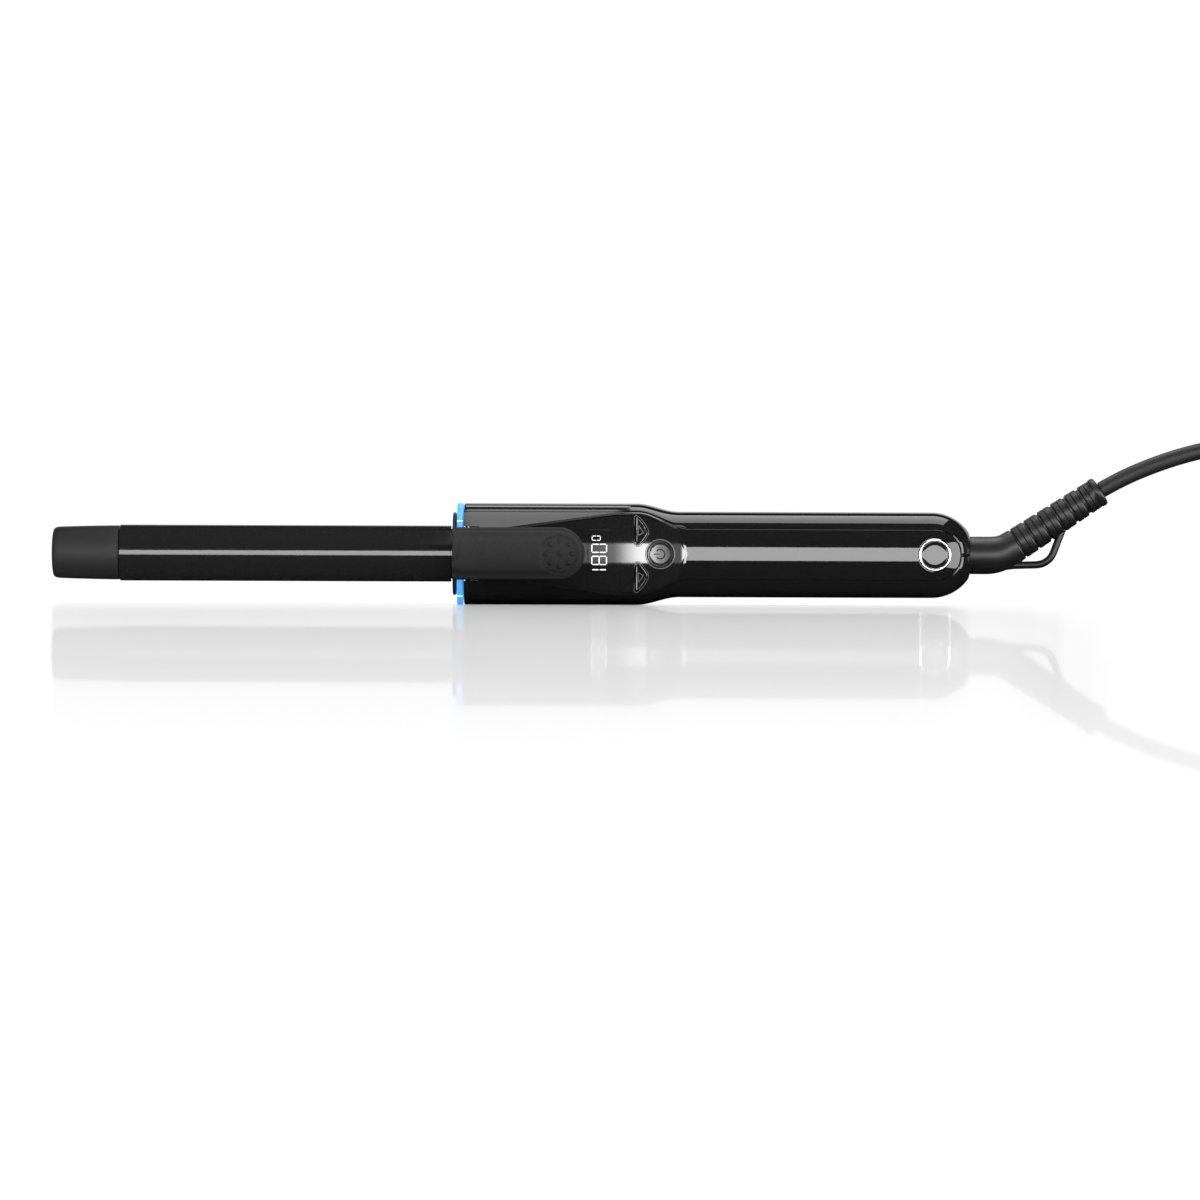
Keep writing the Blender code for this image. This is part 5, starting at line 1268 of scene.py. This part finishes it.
def boot_at(distance):
    """A point on the relief's slanting line, by its distance from the gland's corner."""
    return (GLAND_CORNER + distance * math.cos(BOOT_ANGLE), 0.0, distance * math.sin(BOOT_ANGLE))


def make_boot():
    points = [(184.5, 0, 0), (184.6, 0, 0), (184.8, 0, 0), (190, 0, 0), (194, 0, 0), (197, 0, 0)]
    radii = [6.7, 6.95, 7.15, 7.15, 7.15, 7.15]
    tangent = 5.0
    bend = tangent / math.tan(BOOT_ANGLE / 2)
    begin = GLAND_CORNER - tangent
    for k in range(0, 13):
        angle = BOOT_ANGLE * k / 12
        points.append((begin + bend * math.sin(angle), 0, bend * (1 - math.cos(angle))))
        radii.append(7.15 - 0.65 * ease(k / 12))
    length = 37.6
    ribs = 6
    first = 7.9
    pitch = length * 0.93 / ribs
    for k in range(ribs):
        radius = 6.35 - 0.75 * k / ribs
        wide = 0.5 + 0.12 * k
        at = first + pitch * k
        for along, depth in ((-0.5, 0.0), (-0.22, 0.05), (-0.05, 0.2), (0.08, 0.6), (0.2, 0.85),
                             (wide, 0.85),
                             (wide + 0.12, 0.6), (wide + 0.25, 0.2), (wide + 0.42, 0.05),
                             (wide + 0.7, 0.0)):
            points.append(boot_at(at + along))
            radii.append(radius - 0.8 * depth)
        middle = at + wide + 0.7 + (pitch - wide - 1.2) * 0.5
        for along, depth in ((-0.6, 0.0), (-0.2, 0.0), (-0.1, 0.12), (0.0, 0.28), (0.1, 0.12),
                             (0.2, 0.0), (0.6, 0.0)):
            points.append(boot_at(middle + along))
            radii.append(radius - 0.06 - depth)
    end = first + length
    for back, radius in ((2.7, 5.5), (2.4, 5.72), (1.9, 5.8), (0.9, 5.8), (0.5, 5.7), (0.2, 5.4),
                         (0.0, 4.8)):
        points.append(boot_at(end - back))
        radii.append(radius)
    tube = swept("boot", points, radii, sides=64)
    loop = smooth_line([(203.5, 0, -5.2), (206.5, 0, -4.3), (210, 0, -3.8), (214.9, 0, -3.6),
                        (219.0, 0, -3.45),
                        (221.6, 0, -2.8), (223.8, 0, -1.2), (225.1, 0, 0.8), (226.2, 0, 3.6),
                        (227.5, 0, 7.0),
                        (229.3, 0, 11.6)], 0.5)
    bar = swept("loop", [tuple(p) for p in loop], 1.42, sides=24, flat=1.4)
    piece("boot", merged("boot", [tube, bar], 50), boot_rubber, "cord_swivel", ("cord_boot",))


# ---- the tie and the plug --------------------------------------------------------------


def make_tie():
    low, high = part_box("cord_tie")
    middle_y, middle_z = (low.y + high.y) / 2, (low.z + high.z) / 2
    half_y, half_z = (high.y - low.y) / 2, (high.z - low.z) / 2
    outer, inner = [], []
    count = 96
    width = high.x - low.x
    length, thickness = 8.0, 0.6
    for x in (0.0, 0.15, 0.5, 1.0, 4.0, 7.0, 7.5, 7.85, length):
        drop = rounding(min(x, length - x), 1.0, 0.25)
        top, under = [], []
        for k in range(count + 1):
            angle = 2 * math.pi * k / count
            c, s = math.cos(angle), math.sin(angle)
            y = math.copysign(abs(c) ** 0.34, c)
            z = math.copysign(abs(s) ** 0.34, s)
            grow = 1 - drop * MM / half_y
            place = (low.x + width * x / length) / MM
            y_out, z_out = y * half_y * grow, z * half_z * grow
            top.append((place, (middle_y + y_out) / MM, (middle_z + z_out) / MM - AXIS))
            y_in, z_in = y * (half_y - thickness * MM), z * (half_z - thickness * MM)
            under.append((place, (middle_y + y_in) / MM, (middle_z + z_in) / MM - AXIS))
        outer.append(top)
        inner.append(under)
    mesh = thick_sheet("tie", outer, inner)
    return piece("tie", mesh, satin_black, "handle", ("cord_tie",))


def make_plug():
    """A flat two-pin plug with a ribbed relief."""
    low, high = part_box("plug_body")
    start = low.x / MM
    middle_y = (low.y + high.y) / 2 / MM
    middle_z = (low.z + high.z) / 2 / MM - AXIS
    half_y, half_z = (high.y - low.y) / 2 / MM, (high.z - low.z) / 2 / MM
    stations = []
    for k in range(5):
        x = 0.05 + 3.07 * k
        for along, depth in ((0.0, 0.0), (0.25, 0.05), (0.45, 0.5), (1.2, 0.5), (1.4, 0.05)):
            radius = 3.9 + 1.5 * (x + along) / 16
            stations.append((x + along, radius - depth, radius - depth, 2.0))
    for x, y, z, power in ((16.0, 6.2, 5.6, 2.2), (18.0, 7.6, 6.1, 2.6), (20.5, 10.0, 6.5, 3.0),
                           (24.0, 13.0, 6.75, 3.4),
                           (29.0, 15.6, 6.85, 3.8), (35.0, 17.1, 6.85, 4.0), (41.0, 17.6, 6.85, 4.0),
                           (50.0, 17.65, 6.85, 4.0), (52.2, 17.6, 6.8, 4.0), (52.7, 17.4, 6.6, 4.0),
                           (53.0, 16.9, 6.1, 4.0)):
        stations.append((x, y, z, power))
    rings = []
    for x, y, z, power in stations:
        ring = []
        for k in range(72):
            angle = 2 * math.pi * k / 72
            c, s = math.cos(angle), math.sin(angle)
            ring.append((start + x, middle_y + min(y, half_y) * math.copysign(abs(c) ** (2 / power), c),
                         middle_z + min(z, half_z) * math.copysign(abs(s) ** (2 / power), s)))
        rings.append(ring)
    body = piece("plug", ring_loft("plug", rings), satin_black, "handle", ("plug_body",))
    pins = []
    for side, node in ((1, "plug_pin_left"), (-1, "plug_pin_right")):
        box_low, box_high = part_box(node)
        y = (box_low.y + box_high.y) / 2 / MM
        front, back = box_high.x / MM, box_low.x / MM
        profile = [(back, 0.0), (back, 1.95), (front - 10.0, 1.95), (front - 9.8, 1.98),
                   (front - 1.6, 1.98),
                   (front - 0.7, 1.7), (front - 0.2, 1.1), (front, 0.0)]
        name = "pin_left" if side > 0 else "pin_right"
        mesh = turned(name, profile, 40, centre=(y, middle_z), angle=60)
        pins.append(piece(name, mesh, chrome, "handle", (node,)))
    return [body, *pins]


make_panel()
make_rear_casing()
make_fascia()
make_display()
make_keys()
make_badge()
make_front()
make_lever()
make_clip()
make_spring()
make_boot()
tie = make_tie()
plug_pieces = make_plug()

# ---- materials of the CAD pieces that stay ---------------------------------------------

KEPT = (
    (ceramic, "display_module ring_lamp_board barrel_bush tip_insulator heater_plate mains_fuse"),
    (circuit_green, "control_board power_board"),
    (satin_black, "power_switch up_switch down_switch filter_capacitor triac brush_carrier"),
    (satin_black, "swivel_socket swivel_spool"),
    (aluminium, "heat_spreader_front heat_spreader_back"),
    (steel, "thermal_fuse housing_screw_front housing_screw_rear lever_screw_front lever_screw_rear"),
    (film_blue, "film_capacitor"),
    (wire_brown, "heater_lead_live supply_lead_live"),
    (wire_blue, "heater_lead_neutral supply_lead_neutral"),
    (brass, "live_brush neutral_brush slip_ring_live slip_ring_neutral"),
)
for material, names in KEPT:
    for name in names.split():
        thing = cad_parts[name]
        thing.data.materials.clear()
        thing.data.materials.append(material)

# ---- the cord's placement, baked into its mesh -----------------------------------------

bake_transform(cord)

# ---- floor, backdrop and light ---------------------------------------------------------


BOX_REACH = 0.4  # metres from the handle's axis to the upper softboxes
FLOOR_SHINES = ((0.50, 0.10), (0.15, 0.015))  # share at a slant, roughness
BACKDROP_STRENGTH = 1.05
WORLD_STRENGTH = 1.15


def flat_board(name, corners, material):
    mesh = bpy.data.meshes.new(name)
    mesh.from_pydata(corners, [], [(0, 1, 2, 3)])
    mesh.materials.append(material)
    board = bpy.data.objects.new(name, mesh)
    bpy.context.scene.collection.objects.link(board)
    return board


def floor_material():
    """A pale board that shines when it is seen at a slant, softly and sharply."""
    made = bpy.data.materials.new("floor_white")
    made.use_nodes = True
    nodes, links = made.node_tree.nodes, made.node_tree.links
    nodes.remove(nodes["Principled BSDF"])
    diffuse = nodes.new("ShaderNodeBsdfDiffuse")
    diffuse.inputs["Color"].default_value = (0.92, 0.92, 0.92, 1)
    shader = diffuse
    slant = nodes.new("ShaderNodeLayerWeight")
    low = nodes.new("ShaderNodeMath")
    low.operation = "POWER"
    low.inputs[1].default_value = 3.0
    links.new(slant.outputs["Facing"], low.inputs[0])
    for share, roughness in FLOOR_SHINES:
        gloss = nodes.new("ShaderNodeBsdfGlossy")
        gloss.inputs["Color"].default_value = (1, 1, 1, 1)
        gloss.inputs["Roughness"].default_value = roughness
        mix = nodes.new("ShaderNodeMixShader")
        part = nodes.new("ShaderNodeMath")
        part.operation = "MULTIPLY"
        part.inputs[1].default_value = share
        links.new(low.outputs[0], part.inputs[0])
        links.new(part.outputs[0], mix.inputs["Fac"])
        links.new(shader.outputs[0], mix.inputs[1])
        links.new(gloss.outputs["BSDF"], mix.inputs[2])
        shader = mix
    links.new(shader.outputs[0], nodes["Material Output"].inputs["Surface"])
    return made


def glow_material(name, strength):
    made = bpy.data.materials.new(name)
    made.use_nodes = True
    nodes, links = made.node_tree.nodes, made.node_tree.links
    nodes.remove(nodes["Principled BSDF"])
    glow = nodes.new("ShaderNodeEmission")
    glow.inputs["Strength"].default_value = strength
    links.new(glow.outputs["Emission"], nodes["Material Output"].inputs["Surface"])
    return made


def area_light(name, centre, aim, size_x, size_y, radiance):
    data = bpy.data.lights.new(name, "AREA")
    data.shape = "RECTANGLE"
    data.size = size_x
    data.size_y = size_y
    data.energy = radiance * math.pi * size_x * size_y
    light = bpy.data.objects.new(name, data)
    bpy.context.scene.collection.objects.link(light)
    centre, aim = Vector(centre), Vector(aim)
    back = (centre - aim).normalized()
    side = Vector((0, 0, 1)).cross(back) if abs(back.z) < 0.2 else Vector((1, 0, 0))
    side.normalize()
    up = back.cross(side).normalized()
    turn = Matrix((side, up, back)).transposed().to_4x4()
    light.matrix_world = Matrix.Translation(centre) @ turn
    light.visible_camera = False
    light.visible_diffuse = False
    return light


def make_studio():
    corners = [(-8, -6, 0), (8, -6, 0), (8, 6, 0), (-8, 6, 0)]
    floor = flat_board("floor", corners, floor_material())
    floor.visible_glossy = False
    corners = [(-8, 5.9, -0.5), (8, 5.9, -0.5), (8, 5.9, 3.5), (-8, 5.9, 3.5)]
    flat_board("backdrop", corners, glow_material("backdrop_white", BACKDROP_STRENGTH))
    world = bpy.data.worlds.new("studio")
    bpy.context.scene.world = world
    world.use_nodes = True
    sky = world.node_tree.nodes["Background"]
    sky.inputs["Color"].default_value = (1, 1, 1, 1)
    sky.inputs["Strength"].default_value = WORLD_STRENGTH
    world.cycles_visibility.glossy = False
    # a long strip in front, level with the barrel
    area_light("front_strip", (0.06, -1.6, 0.047), (0.06, 0, 0.019), 2.6, 0.50, 9.0)
    # the upper softboxes: low over the handle's front, higher and longer over its rear
    for name, x0, x1, low, high, radiance in (
        ("upper_front", -0.007, 0.061, 36, 108, 3.4),
        ("upper_front_top", -0.007, 0.066, 124, 136, 2.6),
        ("upper_rear", 0.066, 0.360, 82, 125, 3.4),
    ):
        tilt = math.radians((low + high) / 2)
        centre = ((x0 + x1) / 2, -BOX_REACH * math.cos(tilt), 0.019 + BOX_REACH * math.sin(tilt))
        size = 2 * BOX_REACH * math.tan(math.radians((high - low) / 2))
        area_light(name, centre, (centre[0], 0, 0.019), x1 - x0, size, radiance)
    # a card on the right, seen only in edges that turn that way
    area_light("right_card", (1.1, -0.55, 0.02), (0.12, 0, 0.019), 1.0, 0.80, 7.0)


make_studio()
bpy.context.scene.view_settings.view_transform = "Standard"
